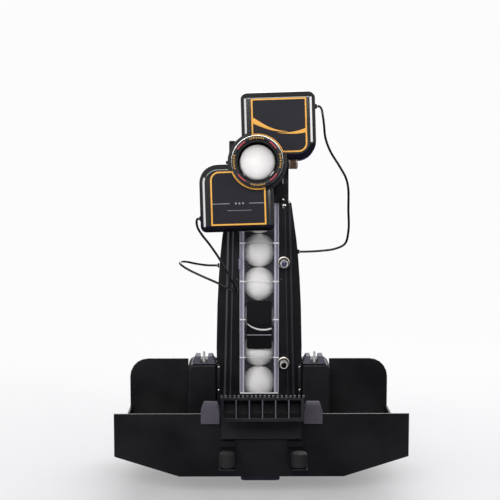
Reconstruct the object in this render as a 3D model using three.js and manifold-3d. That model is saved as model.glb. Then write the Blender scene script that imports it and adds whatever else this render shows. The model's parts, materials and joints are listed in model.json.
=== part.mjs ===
// A table tennis practice robot that hangs on the end of the playing top and throws balls at the player.
// It is modelled in millimetres, with +X to the player's right, +Y away from the player and +Z up.
// The origin is the middle of the flat underside of the front hook.
// Balls lie in the hopper, and the feed disc pushes them into the foot of the column. The column of balls
// climbs to the elbow. Two wheels, above and below the ball's path, throw the ball out of the mouth ring.
// The head turns from side to side, tips up and down, and rolls round the ball's path to change the spin.

import * as THREE from "three";
import { mergeVertices } from "three/addons/utils/BufferGeometryUtils.js";
import Module from "manifold-3d";

const wasm = await Module();
wasm.setup();

// Fits and walls
const fit = 0.3;
const overrun = 2;
const wall = 2.4;
const runningGap = 1;

// Counts of facets
const roundSides = 32;
const smallSides = 16;
const elbowRings = 14;
const ballSides = 16;
const ballRings = 10;
const bevelSteps = 3;
const cornerSteps = 5;

// The ball and its guide
const ballDiameter = 40;
const guideClearance = 1.5;
const ballRadius = ballDiameter / 2;
const guideRadius = ballRadius + guideClearance;

// How the head stands in its rest pose, in degrees
const restYaw = -2;
const restPitch = 4;
const restRoll = 1.8;

// The front hook
const hookWidth = 85;
const hookHeight = 25;
const hookReach = 44;
const hookFall = 16;
const hookCellCount = 6;
const hookCellDepth = 23;
const hookRib = 1.9;
const hookSide = 3.2;
const hookTopLip = 2.7;
const hookBottomLip = 4;
const hookLegDrop = 30;
const hookToothCount = 20;
const hookTooth = 1.6;
const hookToothRise = 2.2;
const hookToothLength = 9;
const hookFrontY = -hookReach / 2;
const edgeY = hookReach / 2;

// What the robot clamps onto goes between the hook and the arm tips
const gripThickness = 22;

// The hopper
const hopperHalfWidth = 157;
const hopperFrontGap = 5;
const hopperFrontDrop = 4;
const hopperBackTop = 18;
const hopperDepth = 69.9;
const hopperEndDepth = 48;
const hopperFlatHalf = 88;
const hopperCorner = 22;
const hopperEndLip = 8;
const hopperBackBehindBall = 8;
const hopperFrontY = edgeY + hopperFrontGap;
const hookLeg = hopperFrontGap - fit;

// The column and the channel that the balls climb
const channelBehindEdge = 185;
const columnTop = 210;
const columnHalfWidth = 51;
const columnOutlineShares = [
  [1, 0.745], [0.9, 0.802], [0.79, 0.868], [0.7, 0.906], [0.58, 0.943], [0.42, 0.977], [0.18, 1], [-0.1, 0.98],
];
const railThickness = 5;
const railStripWidth = 5.5;
const railStripStep = 1.5;
const railTopHalf = 36.8;
const railFootHalf = 43.6;
const railFrontAhead = 22;
const columnBackBehind = 29;
const columnBackBevel = 6;
const channelY = edgeY + channelBehindEdge;
const railFrontY = channelY - railFrontAhead;
const shellFrontY = railFrontY + railThickness;
const columnBackY = channelY + columnBackBehind;
const floorTop = -hopperDepth;
const columnFoot = floorTop + fit;
const hopperBackY = channelY + hopperBackBehindBall;

// The clear cover
const coverHalf = 23.5;
const coverWall = 1.8;
const coverDepth = 9;
const coverProud = 1;
const coverBottom = -18;
const coverRibCount = 4;
const coverRibPitch = 45.7;
const coverRibTop = 162.6;
const coverRib = 1.2;
const coverRibRise = 0.6;
const coverRibHalf = 21.9;
const coverFrontY = railFrontY - coverProud;
const labelWidth = 29.9;
const labelHeight = 58.2;
const labelMiddle = 65.2;
const labelCorner = 3;
const plateThickness = 0.8;
const clipMiddle = 138;
const clipHeight = 13.5;
const clipReach = 2;
const clipThickness = 2.2;
const clipFoot = 3.5;

// The cover's thumbscrews
const knobX = 28.9;
const knobHeights = [139.7, 19.5];
const knobWasher = 6.7;
const knobWasherThickness = 1.5;
const knobNeck = 3;
const knobNeckLength = 2.5;
const knobCap = 4.9;
const knobCapLength = 14;
const knobChamfer = 0.8;
const knobShank = 2;
const knobShankLength = 14;

// The hubs beside the column's foot, with their sockets
const hubInner = 51.4;
const hubOuter = 85.5;
const hubTop = 17.5;
const hubCorner = 8;
const hubFrontAhead = 25;
const hubBackBehind = 27;
const socketWidth = 28;
const socketDepth = 22;
const socketBase = 1.5;
const socketHeight = 9.5;
const socketMiddle = 65.8;
const socketSlot = 9.4;
const socketTaper = 4;
const socketPin = 1.4;
const socketPinHeight = 13.5;

// The feed disc and its motor
const feedRadius = 62;
const feedThickness = 6;
const feedPocketCount = 5;
const feedPocketCircle = 44;
const feedPocketRadius = 22;
const feedHub = 15;
const feedHubHeight = 12;
const feedShaft = 3;
const feedGap = 3;
const feedMotorWidth = 44;
const feedMotorHeight = 26;
const feedMotorCorner = 5;
const feedY = railFrontY - feedGap - feedRadius;

// The arms below, with their rubber tips
const armX = 36;
const armWidth = 16;
const armThickness = 5;
const armReach = 92;
const armBelow = 15;
const armFlange = 26;
const tipRadius = 8;
const tipDish = 1;

// The pads beside the hook
const padWidth = 20;
const padHeight = 8.8;
const padDrop = 14;
const padBevel = 2.5;
const padTaper = 3.2;
const padBack = 6;
const padMiddle = 54.5;

// The control box on the column's back
const boxHalf = 33;
const boxBottom = 34;
const boxTop = 150;
const boxDepth = 26;
const boxBevel = 3;
const boxCorner = 6;
const ventCount = 6;
const ventPitch = 9;
const ventHeight = 3;
const ventHalf = 22;
const ventDepth = 1.6;
const switchWidth = 14;
const switchHeight = 20;
const switchRise = 2.5;
const switchSunk = 6;
const switchX = -14;
const switchZ = 58;
const inletX = 14;
const inletRadius = 7;
const inletHole = 4.4;
const inletLength = 7;
const switchTilt = 8;

// The side-to-side drive
const gearModule = 1.25;
const wheelTeeth = 60;
const pinionTeeth = 12;
const pressureAngle = 20;
const addendumShare = 0.75;
const dedendumShare = 1;
const backlash = 0.4;
const gearThickness = 5;
const sectorHalfAngle = 52;
const flankSteps = 2;
const yawMotorHalf = 17;
const yawMotorHeight = 44;
const yawMotorBehind = 16;
const yawMotorCorner = 4;
const pinionShaft = 2;
const pinionShaftLength = 8;
const wheelPitchRadius = (gearModule * wheelTeeth) / 2;
const pinionPitchRadius = (gearModule * pinionTeeth) / 2;

// The turning platform and its fork
const platformRadius = 35;
const platformHeight = 8;
const collarRadius = 25;
const collarRise = 3.7;
const lugInner = 18.8;
const lugOuter = 35.2;
const lugHalfDepth = 14;
const lugFootDepth = 20;
const lugRise = 13.4;
const webRise = 11;
const webThickness = 6;
const pivotRise = 35.7;
const forkThickness = 6.5;
const forkHalfDepth = 11;
const forkAbovePivot = 28.6;
const forkCorner = 3;
const pivotShank = 2.5;
const boltHead = 5;
const boltHeadLength = 4;
const lockKnobRadius = 4.85;
const lockKnobLength = 10.6;
const lockKnobRidges = 18;
const lockKnobRidge = 0.35;
const platformTop = columnTop + fit + platformHeight;
const collarTop = platformTop + collarRise;
const lugTop = platformTop + lugRise;
const pivotHeight = platformTop + pivotRise;

// The elbow
const elbowWall = 4;
const elbowFront = 49;
const elbowCutBelow = 7;
const elbowCutFront = 25.3;
const trunnionRadius = 8;
const trunnionHoleDepth = 3;
const trunnionPinLength = 3;
const elbowRadius = guideRadius + elbowWall;

// The head, measured from the pivot towards the mouth
const mouthBallAhead = 97;
const headFront = 93;
const headBack = 43;
const headSplit = 51;
const throatRadius = 30.5;
const sleeveRadius = 33.5;
const throatBack = 36;
const ringFront = 109;
const ringRadius = 28.8;
const ringSkirt = 29.1;
const ringSkirtDepth = 4;
const ringHole = 23.5;
const ringHoleTaper = 5;
const ringEdge = 0.8;

// A wheel housing, seen from the front and measured from the ball's path
const housingInner = -17;
const housingOuter = 66;
const housingNear = 1.1;
const housingFar = 77.2;
const housingSmallCorner = 7;
const housingLargeCorner = 21;
const housingBevel = 6;
const housingWall = 2.4;
const plateInner = -5.5;
const plateOuter = 56.1;
const plateNear = 9.5;
const plateFar = 69.9;
const plateSmallCorner = 1.5;
const plateLargeCorner = 10;
const plateArcGap = 0.3;
const lowerPlateShift = 2.6;

// The throwing wheels and their motors
const throwRadius = 20.5;
const throwWidth = 18;
const throwSqueeze = 1;
const throwCrown = 1.5;
const throwHub = 9;
const throwDish = 3;
const throwShaft = 1.6;
const throwBehind = 68;
const slotSpare = 1.5;
const motorRadius = 14;
const motorStart = 26;
const motorNose = 5;
const motorNoseLength = 2;
const throwOffset = ballRadius + throwRadius - throwSqueeze;

// The cords and the glands that they leave by
const cordDiameter = 2.7;
const cordSides = 8;
const cordSteps = 42;
const glandRadius = 2.8;
const glandTip = 2;
const glandLength = 2.4;
const housingGlandHeight = 61.5;
const columnGlandHeights = { right: 149.5, left: 133 };
const columnGlandBehind = 4;
const upperCordPoints = [
  [64.78, 141.3, 322.22],
  [66.9, 141.24, 322.2],
  [69.3, 141.0, 319.6],
  [71.0, 140.2, 311.6],
  [72.4, 141.0, 301.6],
  [74.4, 144.0, 286.6],
  [80.6, 149.6, 271.2],
  [91.0, 157.0, 255.3],
  [99.9, 165.0, 240.3],
  [103.4, 172.0, 227.7],
  [105.0, 185.0, 202.5],
  [106.4, 197.0, 176.0],
  [103.0, 205.0, 159.6],
  [91.5, 209.0, 153.2],
  [75.0, 210.6, 150.6],
  [58.0, 211.0, 149.6],
  [49.23, 211.0, 149.5],
];
const lowerCordPoints = [
  [-69.52, 137.11, 195.26],
  [-71.2, 137.16, 194.9],
  [-72.2, 137.6, 191.6],
  [-70.9, 138.4, 184.6],
  [-66.4, 139.4, 176.9],
  [-58.0, 140.4, 166.0],
  [-48.3, 141.4, 151.8],
  [-37.0, 142.4, 132.6],
  [-29.6, 145.0, 118.6],
  [-26.8, 151.6, 110.4],
  [-29.6, 159.0, 108.8],
  [-38.0, 163.6, 112.4],
  [-50.0, 165.6, 118.0],
  [-68.4, 167.6, 126.0],
  [-84.6, 170.6, 133.6],
  [-92.6, 178.0, 138.2],
  [-93.0, 189.0, 140.0],
  [-86.0, 200.0, 138.6],
  [-76.0, 207.0, 135.6],
  [-62.0, 210.8, 133.2],
  [-50.46, 211.0, 133.0],
];

// Finishes
function finish(color, roughness, metalness) {
  return new THREE.MeshStandardMaterial({ color, roughness, metalness });
}

const finishes = {
  blackGloss: finish(0x0b0b0d, 0.16, 0),
  blackSatin: finish(0x151517, 0.45, 0),
  darkPlate: finish(0x2b2a30, 0.6, 0),
  greyPad: finish(0x3a3840, 0.8, 0),
  rubber: finish(0x1a1a1a, 0.9, 0),
  redRubber: finish(0x4a1412, 0.85, 0),
  steel: finish(0xb8b8b8, 0.25, 1),
  brass: finish(0x8a5f3c, 0.35, 1),
  whiteBall: finish(0xf4f2ec, 0.45, 0),
  clear: new THREE.MeshStandardMaterial({
    color: 0xe8eef2, roughness: 0.08, transparent: true, opacity: 0.3,
  }),
  cord: finish(0x101010, 0.6, 0),
};

// Helpers for solids

const axisBases = {
  x: [new THREE.Vector3(0, 1, 0), new THREE.Vector3(0, 0, 1), new THREE.Vector3(1, 0, 0)],
  y: [new THREE.Vector3(1, 0, 0), new THREE.Vector3(0, 0, 1), new THREE.Vector3(0, -1, 0)],
  z: [new THREE.Vector3(1, 0, 0), new THREE.Vector3(0, 1, 0), new THREE.Vector3(0, 0, 1)],
};

// Turns a geometry into a solid that can be joined and cut
function solidOf(geometry) {
  const bare = geometry.clone();
  bare.deleteAttribute("normal");
  bare.deleteAttribute("uv");
  const merged = mergeVertices(bare);
  return new wasm.Manifold(new wasm.Mesh({
    numProp: 3,
    vertProperties: new Float32Array(merged.attributes.position.array),
    triVerts: new Uint32Array(merged.index.array),
  }));
}

function geometryOf(solid) {
  const mesh = solid.getMesh();
  const geometry = new THREE.BufferGeometry();
  geometry.setAttribute("position", new THREE.BufferAttribute(new Float32Array(mesh.vertProperties), 3));
  geometry.setIndex(new THREE.BufferAttribute(new Uint32Array(mesh.triVerts), 1));
  return geometry;
}

const joined = (...solids) => solids.reduce((all, next) => all.add(next));
const cut = (solid, ...cutters) => cutters.reduce((rest, next) => rest.subtract(next), solid);

// A flat outline drawn across an axis and drawn out along it, from the lower place to the higher
function prism(shape, axis, from, to, bevel = 0, steps = bevelSteps) {
  const geometry = new THREE.ExtrudeGeometry(shape, {
    depth: to - from - 2 * bevel,
    steps: 1,
    curveSegments: cornerSteps,
    bevelEnabled: bevel > 0,
    bevelThickness: bevel,
    bevelSize: bevel,
    bevelOffset: -bevel,
    bevelSegments: steps,
  });
  const [across, up, along] = axisBases[axis];
  geometry.applyMatrix4(new THREE.Matrix4().makeBasis(across, up, along));
  const start = along.x + along.y + along.z > 0 ? from + bevel : to - bevel;
  const shift = along.clone().multiplyScalar(start * Math.sign(along.x + along.y + along.z));
  geometry.translate(shift.x, shift.y, shift.z);
  return solidOf(geometry);
}

function polygon(points) {
  return new THREE.Shape(points.map(([across, up]) => new THREE.Vector2(across, up)));
}

// A rectangle whose corners are rounded, in the order lower left, lower right, upper right, upper left
function roundedRectangle(left, bottom, right, top, radii) {
  const [a, b, c, d] = radii;
  const points = [];
  const corner = (x, y, radius, start) => {
    const count = radius > 0 ? cornerSteps : 0;
    for (let step = 0; step <= count; step += 1) {
      const angle = ((start + (count ? (90 * step) / count : 0)) * Math.PI) / 180;
      points.push([x + radius * Math.cos(angle), y + radius * Math.sin(angle)]);
    }
  };
  corner(left + a, bottom + a, a, 180);
  corner(right - b, bottom + b, b, 270);
  corner(right - c, top - c, c, 0);
  corner(left + d, top - d, d, 90);
  return polygon(points);
}

function block(x0, x1, y0, y1, z0, z1) {
  const geometry = new THREE.BoxGeometry(x1 - x0, y1 - y0, z1 - z0);
  geometry.translate((x0 + x1) / 2, (y0 + y1) / 2, (z0 + z1) / 2);
  return solidOf(geometry);
}

// A body turned on a lathe along an axis, from points of radius and place along it
function turned(points, axis, sides = roundSides) {
  const profile = points.map(([radius, along]) => new THREE.Vector2(radius, along));
  const geometry = new THREE.LatheGeometry(profile, sides);
  if (axis === "x") geometry.rotateZ(-Math.PI / 2);
  if (axis === "z") geometry.rotateX(Math.PI / 2);
  return solidOf(geometry);
}

function rod(axis, radius, from, to, sides = roundSides) {
  return turned([[0, from], [radius, from], [radius, to], [0, to]], axis, sides);
}

function sphere(radius, sides = roundSides, rings = elbowRings) {
  return solidOf(new THREE.SphereGeometry(radius, sides, rings));
}

// The scene graph

const robot = new THREE.Group();
const base = new THREE.Group();
const yawGroup = new THREE.Group();
const pitchGroup = new THREE.Group();
const rollGroup = new THREE.Group();
robot.add(base, yawGroup);
yawGroup.add(pitchGroup);
pitchGroup.add(rollGroup);
yawGroup.position.y = channelY;
yawGroup.rotation.z = THREE.MathUtils.degToRad(restYaw);
pitchGroup.position.z = pivotHeight;
pitchGroup.rotation.x = -THREE.MathUtils.degToRad(restPitch);
rollGroup.rotation.y = -THREE.MathUtils.degToRad(restRoll);

function place(group, name, solid, material) {
  const mesh = new THREE.Mesh(geometryOf(solid), material);
  mesh.name = name;
  group.add(mesh);
  return mesh;
}

const sides = [["left", -1], ["right", 1]];

// The front hook: a hollow block with ribs across its open front, and a leg that drops behind the edge
function hookSolid() {
  const half = hookWidth / 2;
  const fallTo = (depth) => hookHeight - (hookFall * depth) / hookReach;
  const body = prism(polygon([
    [hookFrontY, 0], [edgeY, 0], [edgeY, -hookLegDrop], [edgeY + hookLeg, -hookLegDrop],
    [edgeY + hookLeg, fallTo(hookReach + hookLeg)], [hookFrontY, hookHeight],
  ]), "x", -half, half);
  const cellPitch = (hookWidth - 2 * hookSide + hookRib) / hookCellCount;
  const cellProfile = polygon([
    [hookFrontY - overrun, hookBottomLip], [hookFrontY + hookCellDepth, hookBottomLip],
    [hookFrontY + hookCellDepth, fallTo(hookCellDepth) - hookTopLip], [hookFrontY, hookHeight - hookTopLip],
    [hookFrontY - overrun, hookHeight - hookTopLip],
  ]);
  let hook = body;
  for (let cell = 0; cell < hookCellCount; cell += 1) {
    const left = -half + hookSide + cell * cellPitch;
    hook = cut(hook, prism(cellProfile, "x", left, left + cellPitch - hookRib));
  }
  const toothPitch = (hookWidth - hookTooth) / (hookToothCount - 1);
  const toothEnd = hookFrontY + hookToothLength;
  const toothProfile = polygon([
    [hookFrontY, hookHeight - hookTopLip / 2], [toothEnd, fallTo(hookToothLength) - hookTopLip / 2],
    [toothEnd, fallTo(hookToothLength) + hookToothRise], [hookFrontY, hookHeight + hookToothRise],
  ]);
  for (let tooth = 0; tooth < hookToothCount; tooth += 1) {
    const left = -half + tooth * toothPitch;
    hook = joined(hook, prism(toothProfile, "x", left, left + hookTooth));
  }
  return hook;
}

// The pads are clipped over the hopper's front wall beside the hook, against the edge
function padSolid(side) {
  const back = hopperFrontY + wall + padBack;
  const seat = fit - hopperFrontDrop;
  const middle = side * padMiddle;
  const half = padWidth / 2;
  const profile = prism(polygon([
    [edgeY, -padDrop], [hopperFrontY - fit, -padDrop], [hopperFrontY - fit, seat], [back, seat],
    [back, padHeight - padBevel], [back - padBevel, padHeight], [edgeY + 2 * padBevel, padHeight],
    [edgeY, padHeight - padBevel],
  ]), "x", middle - half, middle + half);
  return profile.intersect(prism(polygon([
    [middle - half, -padDrop - overrun], [middle + half, -padDrop - overrun], [middle + half, 0],
    [middle + half - padTaper, padHeight + fit], [middle - half + padTaper, padHeight + fit],
    [middle - half, 0],
  ]), "y", edgeY - overrun, back + overrun));
}

// The arms reach under the edge, and their rubber tips press up against it
function armSolid(side) {
  const back = hopperFrontY - fit;
  const top = -gripThickness - armBelow;
  const foot = top + armThickness - armFlange;
  const profile = polygon([
    [back, top + armThickness], [back, foot], [back - armThickness, foot],
    [back - armThickness, top - armThickness], [back - armReach, top - armThickness], [back - armReach, top],
    [back - 2 * armThickness, top], [back - armThickness, top + armThickness],
  ]);
  return prism(profile, "x", side * armX - armWidth / 2, side * armX + armWidth / 2);
}

function tipSolid(side) {
  const low = -gripThickness - armBelow + fit;
  const high = -gripThickness - fit;
  const tip = turned([
    [0, low], [tipRadius - tipDish, low], [tipRadius, low + tipDish], [tipRadius, high - tipDish],
    [tipRadius - tipDish, high], [0, high],
  ], "z", smallSides);
  return tip.translate([side * armX, hopperFrontY - fit - armReach + tipRadius, 0]);
}

// The hopper: a sloping floor, a low front wall, a raised back wall with round outer corners, and end lips
function hopperSolid() {
  const floorLine = (sink) => [
    [-hopperHalfWidth, -hopperEndDepth - sink], [-hopperFlatHalf, floorTop - sink],
    [hopperFlatHalf, floorTop - sink], [hopperHalfWidth, -hopperEndDepth - sink],
  ];
  const under = floorLine(wall);
  const floor = prism(polygon([...under, ...floorLine(0).reverse()]), "y", hopperFrontY, hopperBackY + wall);
  const front = prism(
    polygon([...under, [hopperHalfWidth, -hopperFrontDrop], [-hopperHalfWidth, -hopperFrontDrop]]),
    "y", hopperFrontY, hopperFrontY + wall,
  );
  const tall = roundedRectangle(
    -hopperHalfWidth, -hopperEndDepth - wall, hopperHalfWidth, hopperBackTop,
    [0, 0, hopperCorner, hopperCorner],
  );
  const low = polygon([...under, [hopperHalfWidth, -hopperEndDepth], [-hopperHalfWidth, -hopperEndDepth]]);
  const back = joined(
    prism(tall, "y", hopperBackY, hopperBackY + wall),
    prism(low, "y", hopperBackY, hopperBackY + wall),
  );
  const lips = sides.map(([, side]) => {
    const outer = side * hopperHalfWidth;
    const inner = side * (hopperHalfWidth - wall);
    return block(
      Math.min(outer, inner), Math.max(outer, inner), hopperFrontY, hopperBackY + wall,
      -hopperEndDepth - wall, hopperEndLip - hopperEndDepth,
    );
  });
  const notch = block(
    -hubOuter - fit, hubOuter + fit, hopperBackY - overrun, hopperBackY + wall + overrun,
    floorTop, hopperBackTop + overrun,
  );
  const shelf = block(
    -hubOuter, hubOuter, hopperBackY - overrun, columnBackY + fit, floorTop - wall, floorTop,
  );
  const shaftHole = rod("z", feedShaft + fit, floorTop - wall - overrun, floorTop + overrun, smallSides)
    .translate([0, feedY, 0]);
  const walls = cut(joined(back, ...lips), notch);
  const above = hopperBackTop + overrun;
  const room = prism(
    polygon([...floorLine(0), [hopperHalfWidth, above], [-hopperHalfWidth, above]]),
    "y", channelY - hubFrontAhead, hopperBackY,
  );
  return cut(joined(floor, front, walls, shelf), cut(room, ...lips), shaftHole);
}

// The hubs close the hopper beside the column's foot, and carry the sockets
function hubSolid(side) {
  const low = Math.min(side * hubInner, side * hubOuter);
  const high = Math.max(side * hubInner, side * hubOuter);
  const radii = side > 0 ? [0, 0, hubCorner, 0] : [0, 0, 0, hubCorner];
  return prism(
    roundedRectangle(low, columnFoot, high, hubTop, radii),
    "y", channelY - hubFrontAhead, channelY + hubBackBehind,
  );
}

function socketSolid(side) {
  const middle = side * socketMiddle;
  const low = hubTop + fit;
  const half = socketWidth / 2;
  const body = prism(polygon([
    [middle - half, low], [middle + half, low], [middle + half - socketTaper, low + socketHeight],
    [middle - half + socketTaper, low + socketHeight],
  ]), "y", channelY - hubFrontAhead, channelY - hubFrontAhead + socketDepth);
  return cut(body, block(
    middle - socketSlot / 2, middle + socketSlot / 2,
    channelY - hubFrontAhead - overrun, channelY - hubFrontAhead + socketDepth + overrun,
    low + socketBase, low + socketHeight + overrun,
  ));
}

function socketPinSolid(side) {
  const low = hubTop + fit + socketBase + fit;
  return rod("z", socketPin, low, low + socketPinHeight, smallSides).translate([
    side * socketMiddle, channelY - hubFrontAhead + socketPin * 2, 0,
  ]);
}

// The column shell: it flares towards the foot, and is hollow beside the channel
function columnOutline(inset) {
  const right = columnOutlineShares.map(([heightShare, widthShare]) => [
    widthShare * columnHalfWidth - inset, heightShare * columnTop,
  ]);
  const [footWidth] = right[right.length - 1];
  right.push([footWidth, columnFoot]);
  return right;
}

function columnHalfAt(height) {
  const outline = columnOutline(0);
  const index = outline.findIndex(([, z]) => z <= height);
  const [x0, z0] = outline[index - 1];
  const [x1, z1] = outline[index];
  return x0 + ((x1 - x0) * (height - z0)) / (z1 - z0);
}

function columnShellSolid() {
  const right = columnOutline(0);
  const left = right.map(([x, z]) => [-x, z]).reverse();
  const outer = cut(
    prism(polygon([...left, ...right]), "y", shellFrontY - columnBackBevel, columnBackY, columnBackBevel),
    block(
      -columnHalfWidth - overrun, columnHalfWidth + overrun,
      shellFrontY - columnBackBevel - overrun, shellFrontY, columnFoot - overrun, columnTop + overrun,
    ),
  );
  const channel = block(
    -guideRadius, guideRadius, shellFrontY - overrun, channelY + guideRadius,
    columnFoot - overrun, columnTop + overrun,
  );
  const coverSeat = block(
    -coverHalf - fit, coverHalf + fit, shellFrontY - overrun, coverFrontY + coverDepth + fit,
    coverBottom - fit, columnTop + overrun,
  );
  const hollows = sides.map(([, side]) => {
    const inner = columnOutline(wall).map(([x, z]) => [x, z === columnTop ? columnTop - wall : z]);
    inner[inner.length - 1][1] = columnFoot - overrun;
    const flange = guideRadius + 2 * wall;
    const points = [[flange, columnFoot - overrun], [flange, columnTop - wall], ...inner];
    const shape = polygon(side > 0 ? points : points.map(([x, z]) => [-x, z]).reverse());
    return prism(shape, "y", shellFrontY + wall, columnBackY - columnBackBevel);
  });
  const screwHoles = knobHeights.map((height) => rod(
    "y", knobShank + fit, shellFrontY - overrun, shellFrontY + wall + overrun, smallSides,
  ).translate([knobX, 0, height]));
  return cut(outer, channel, coverSeat, ...hollows, ...screwHoles);
}

// The rails frame the channel, and have a lower strip along their outer edge
function railSolid(side) {
  const inner = coverHalf + fit;
  const edge = (inset) => [
    [inner, columnFoot], [railFootHalf - inset, columnFoot], [railTopHalf - inset, columnTop],
    [inner, columnTop],
  ];
  const mirrored = (points) => (side > 0 ? points : points.map(([x, z]) => [-x, z]).reverse());
  const strip = prism(polygon(mirrored(edge(0))), "y", railFrontY + railStripStep, shellFrontY - fit);
  const face = prism(polygon(mirrored(edge(railStripWidth))), "y", railFrontY, shellFrontY - fit);
  let rail = joined(strip, face);
  if (side > 0) {
    for (const height of knobHeights) {
      rail = cut(rail, rod(
        "y", knobShank + fit, railFrontY - overrun, shellFrontY + overrun, smallSides,
      ).translate([knobX, 0, height]));
    }
    return rail;
  }
  const clip = joined(
    block(
      -inner - clipFoot, -coverHalf + clipReach, coverFrontY - fit - clipThickness, coverFrontY - fit,
      clipMiddle - clipHeight / 2, clipMiddle + clipHeight / 2,
    ),
    block(
      -inner - clipFoot, -inner, coverFrontY - fit - clipThickness, railFrontY + railStripStep,
      clipMiddle - clipHeight / 2, clipMiddle + clipHeight / 2,
    ),
  );
  return joined(rail, clip);
}

// The clear cover: a shallow trough with ribs across its front
function coverSolid() {
  const back = coverFrontY + coverDepth;
  const trough = prism(polygon([
    [-coverHalf, back], [-coverHalf, coverFrontY], [coverHalf, coverFrontY], [coverHalf, back],
    [coverHalf - coverWall, back], [coverHalf - coverWall, coverFrontY + coverWall],
    [-coverHalf + coverWall, coverFrontY + coverWall], [-coverHalf + coverWall, back],
  ]), "z", coverBottom, columnTop);
  let cover = trough;
  for (let rib = 0; rib < coverRibCount; rib += 1) {
    const middle = coverRibTop - rib * coverRibPitch;
    cover = joined(cover, block(
      -coverRibHalf, coverRibHalf, coverFrontY - coverRibRise, coverFrontY + coverWall / 2,
      middle - coverRib / 2, middle + coverRib / 2,
    ));
  }
  return cover;
}

function labelSolid() {
  const back = coverFrontY - coverRibRise - fit;
  const radii = [labelCorner, labelCorner, labelCorner, labelCorner];
  return prism(roundedRectangle(
    -labelWidth / 2, labelMiddle - labelHeight / 2, labelWidth / 2, labelMiddle + labelHeight / 2, radii,
  ), "y", back - plateThickness, back);
}

// A thumbscrew with a washer under its head: the washers hold the cover's edge
function coverKnobSolid() {
  const seat = coverFrontY - fit;
  const washer = seat - knobWasherThickness;
  const cap = washer - knobNeckLength;
  const end = cap - knobCapLength;
  return turned([
    [0, end], [knobCap - knobChamfer, end], [knobCap, end + knobChamfer], [knobCap, cap], [knobNeck, cap],
    [knobNeck, washer], [knobWasher, washer], [knobWasher, seat], [knobShank, seat],
    [knobShank, seat + knobShankLength], [0, seat + knobShankLength],
  ], "y", smallSides);
}

// The feed disc: pockets round its rim carry the balls to the foot of the column
function feedDiscSolid() {
  const low = floorTop + runningGap;
  let disc = rod("z", feedRadius, low, low + feedThickness);
  for (let pocket = 0; pocket < feedPocketCount; pocket += 1) {
    const angle = Math.PI / 2 + (2 * Math.PI * pocket) / feedPocketCount;
    const hole = rod("z", feedPocketRadius, low - overrun, low + feedThickness + overrun, smallSides);
    const across = feedPocketCircle * Math.cos(angle);
    disc = cut(disc, hole.translate([across, feedPocketCircle * Math.sin(angle), 0]));
  }
  const top = low + feedThickness;
  const hub = turned([
    [0, low], [feedHub, low], [feedHub, top], [feedHub * Math.SQRT1_2, top + feedHubHeight * Math.SQRT1_2],
    [0, top + feedHubHeight],
  ], "z", smallSides);
  const shaft = rod("z", feedShaft, floorTop - wall - feedMotorHeight / 2, top, smallSides);
  return joined(disc, hub, shaft);
}

function feedMotorSolid() {
  const top = floorTop - wall - fit;
  const half = feedMotorWidth / 2;
  const radii = [feedMotorCorner, feedMotorCorner, feedMotorCorner, feedMotorCorner];
  return cut(
    prism(roundedRectangle(-half, -half, half, half, radii), "z", top - feedMotorHeight, top),
    rod("z", feedShaft + fit, floorTop - wall - feedMotorHeight / 2 - runningGap, top + overrun, smallSides),
  );
}

// The control box holds the electronics, with vents, a rocker switch and the supply socket on its back
function controlBoxSolid() {
  const front = columnBackY + fit;
  const back = front + boxDepth;
  const radii = [boxCorner, boxCorner, boxCorner, boxCorner];
  const bevelled = prism(
    roundedRectangle(-boxHalf, boxBottom, boxHalf, boxTop, radii), "y", front - boxBevel, back, boxBevel, 1,
  );
  let box = cut(bevelled, block(
    -boxHalf - overrun, boxHalf + overrun, front - boxBevel - overrun, front,
    boxBottom - overrun, boxTop + overrun,
  ));
  for (let vent = 0; vent < ventCount; vent += 1) {
    const low = boxTop - ventPitch * (vent + 2);
    box = cut(box, block(-ventHalf, ventHalf, back - ventDepth, back + overrun, low, low + ventHeight));
  }
  return cut(
    box,
    block(
      switchX - switchWidth / 2, switchX + switchWidth / 2, back - switchSunk, back + overrun,
      switchZ - switchHeight / 2, switchZ + switchHeight / 2,
    ),
    rod("y", inletHole + fit, back - switchSunk, back + overrun, smallSides).translate([inletX, 0, switchZ]),
  );
}

// The rocker is drawn round the axis that it tips on
function switchSolid() {
  const half = switchHeight / 2 - runningGap;
  const width = switchWidth / 2 - fit;
  return prism(polygon([
    [-switchSunk / 2, -half / 2], [0, -half], [switchRise, -half], [0, 0], [switchRise, half], [0, half],
    [-switchSunk / 2, half / 2],
  ]), "x", switchX - width, switchX + width);
}

function inletSolid() {
  const back = columnBackY + fit + boxDepth;
  const deep = back - switchSunk / 2;
  const end = back + inletLength;
  const hole = inletHole - knobChamfer;
  return turned([
    [0, deep], [inletHole, deep], [inletHole, back + fit], [inletRadius, back + fit],
    [inletRadius, end - knobChamfer], [inletRadius - knobChamfer, end], [hole, end],
    [hole, back + knobChamfer], [0, back + knobChamfer],
  ], "y", smallSides).translate([inletX, 0, switchZ]);
}

// Involute gear outlines

function involutePoint(baseRadius, radius) {
  const roll = Math.sqrt(Math.max(0, (radius / baseRadius) ** 2 - 1));
  return roll - Math.atan(roll);
}

function toothAngles(teeth) {
  const pitchRadius = (gearModule * teeth) / 2;
  const baseRadius = pitchRadius * Math.cos((pressureAngle * Math.PI) / 180);
  const root = pitchRadius - dedendumShare * gearModule;
  const tip = pitchRadius + addendumShare * gearModule;
  const halfThickness = (Math.PI * gearModule) / 2 / 2 - backlash / 2;
  const halfAtPitch = halfThickness / pitchRadius + involutePoint(baseRadius, pitchRadius);
  const start = Math.max(root, baseRadius);
  const flank = [];
  for (let step = 0; step <= flankSteps; step += 1) {
    const radius = start + ((tip - start) * step) / flankSteps;
    flank.push([radius, halfAtPitch - involutePoint(baseRadius, radius)]);
  }
  if (start > root) flank.unshift([root, flank[0][1]]);
  return flank;
}

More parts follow.
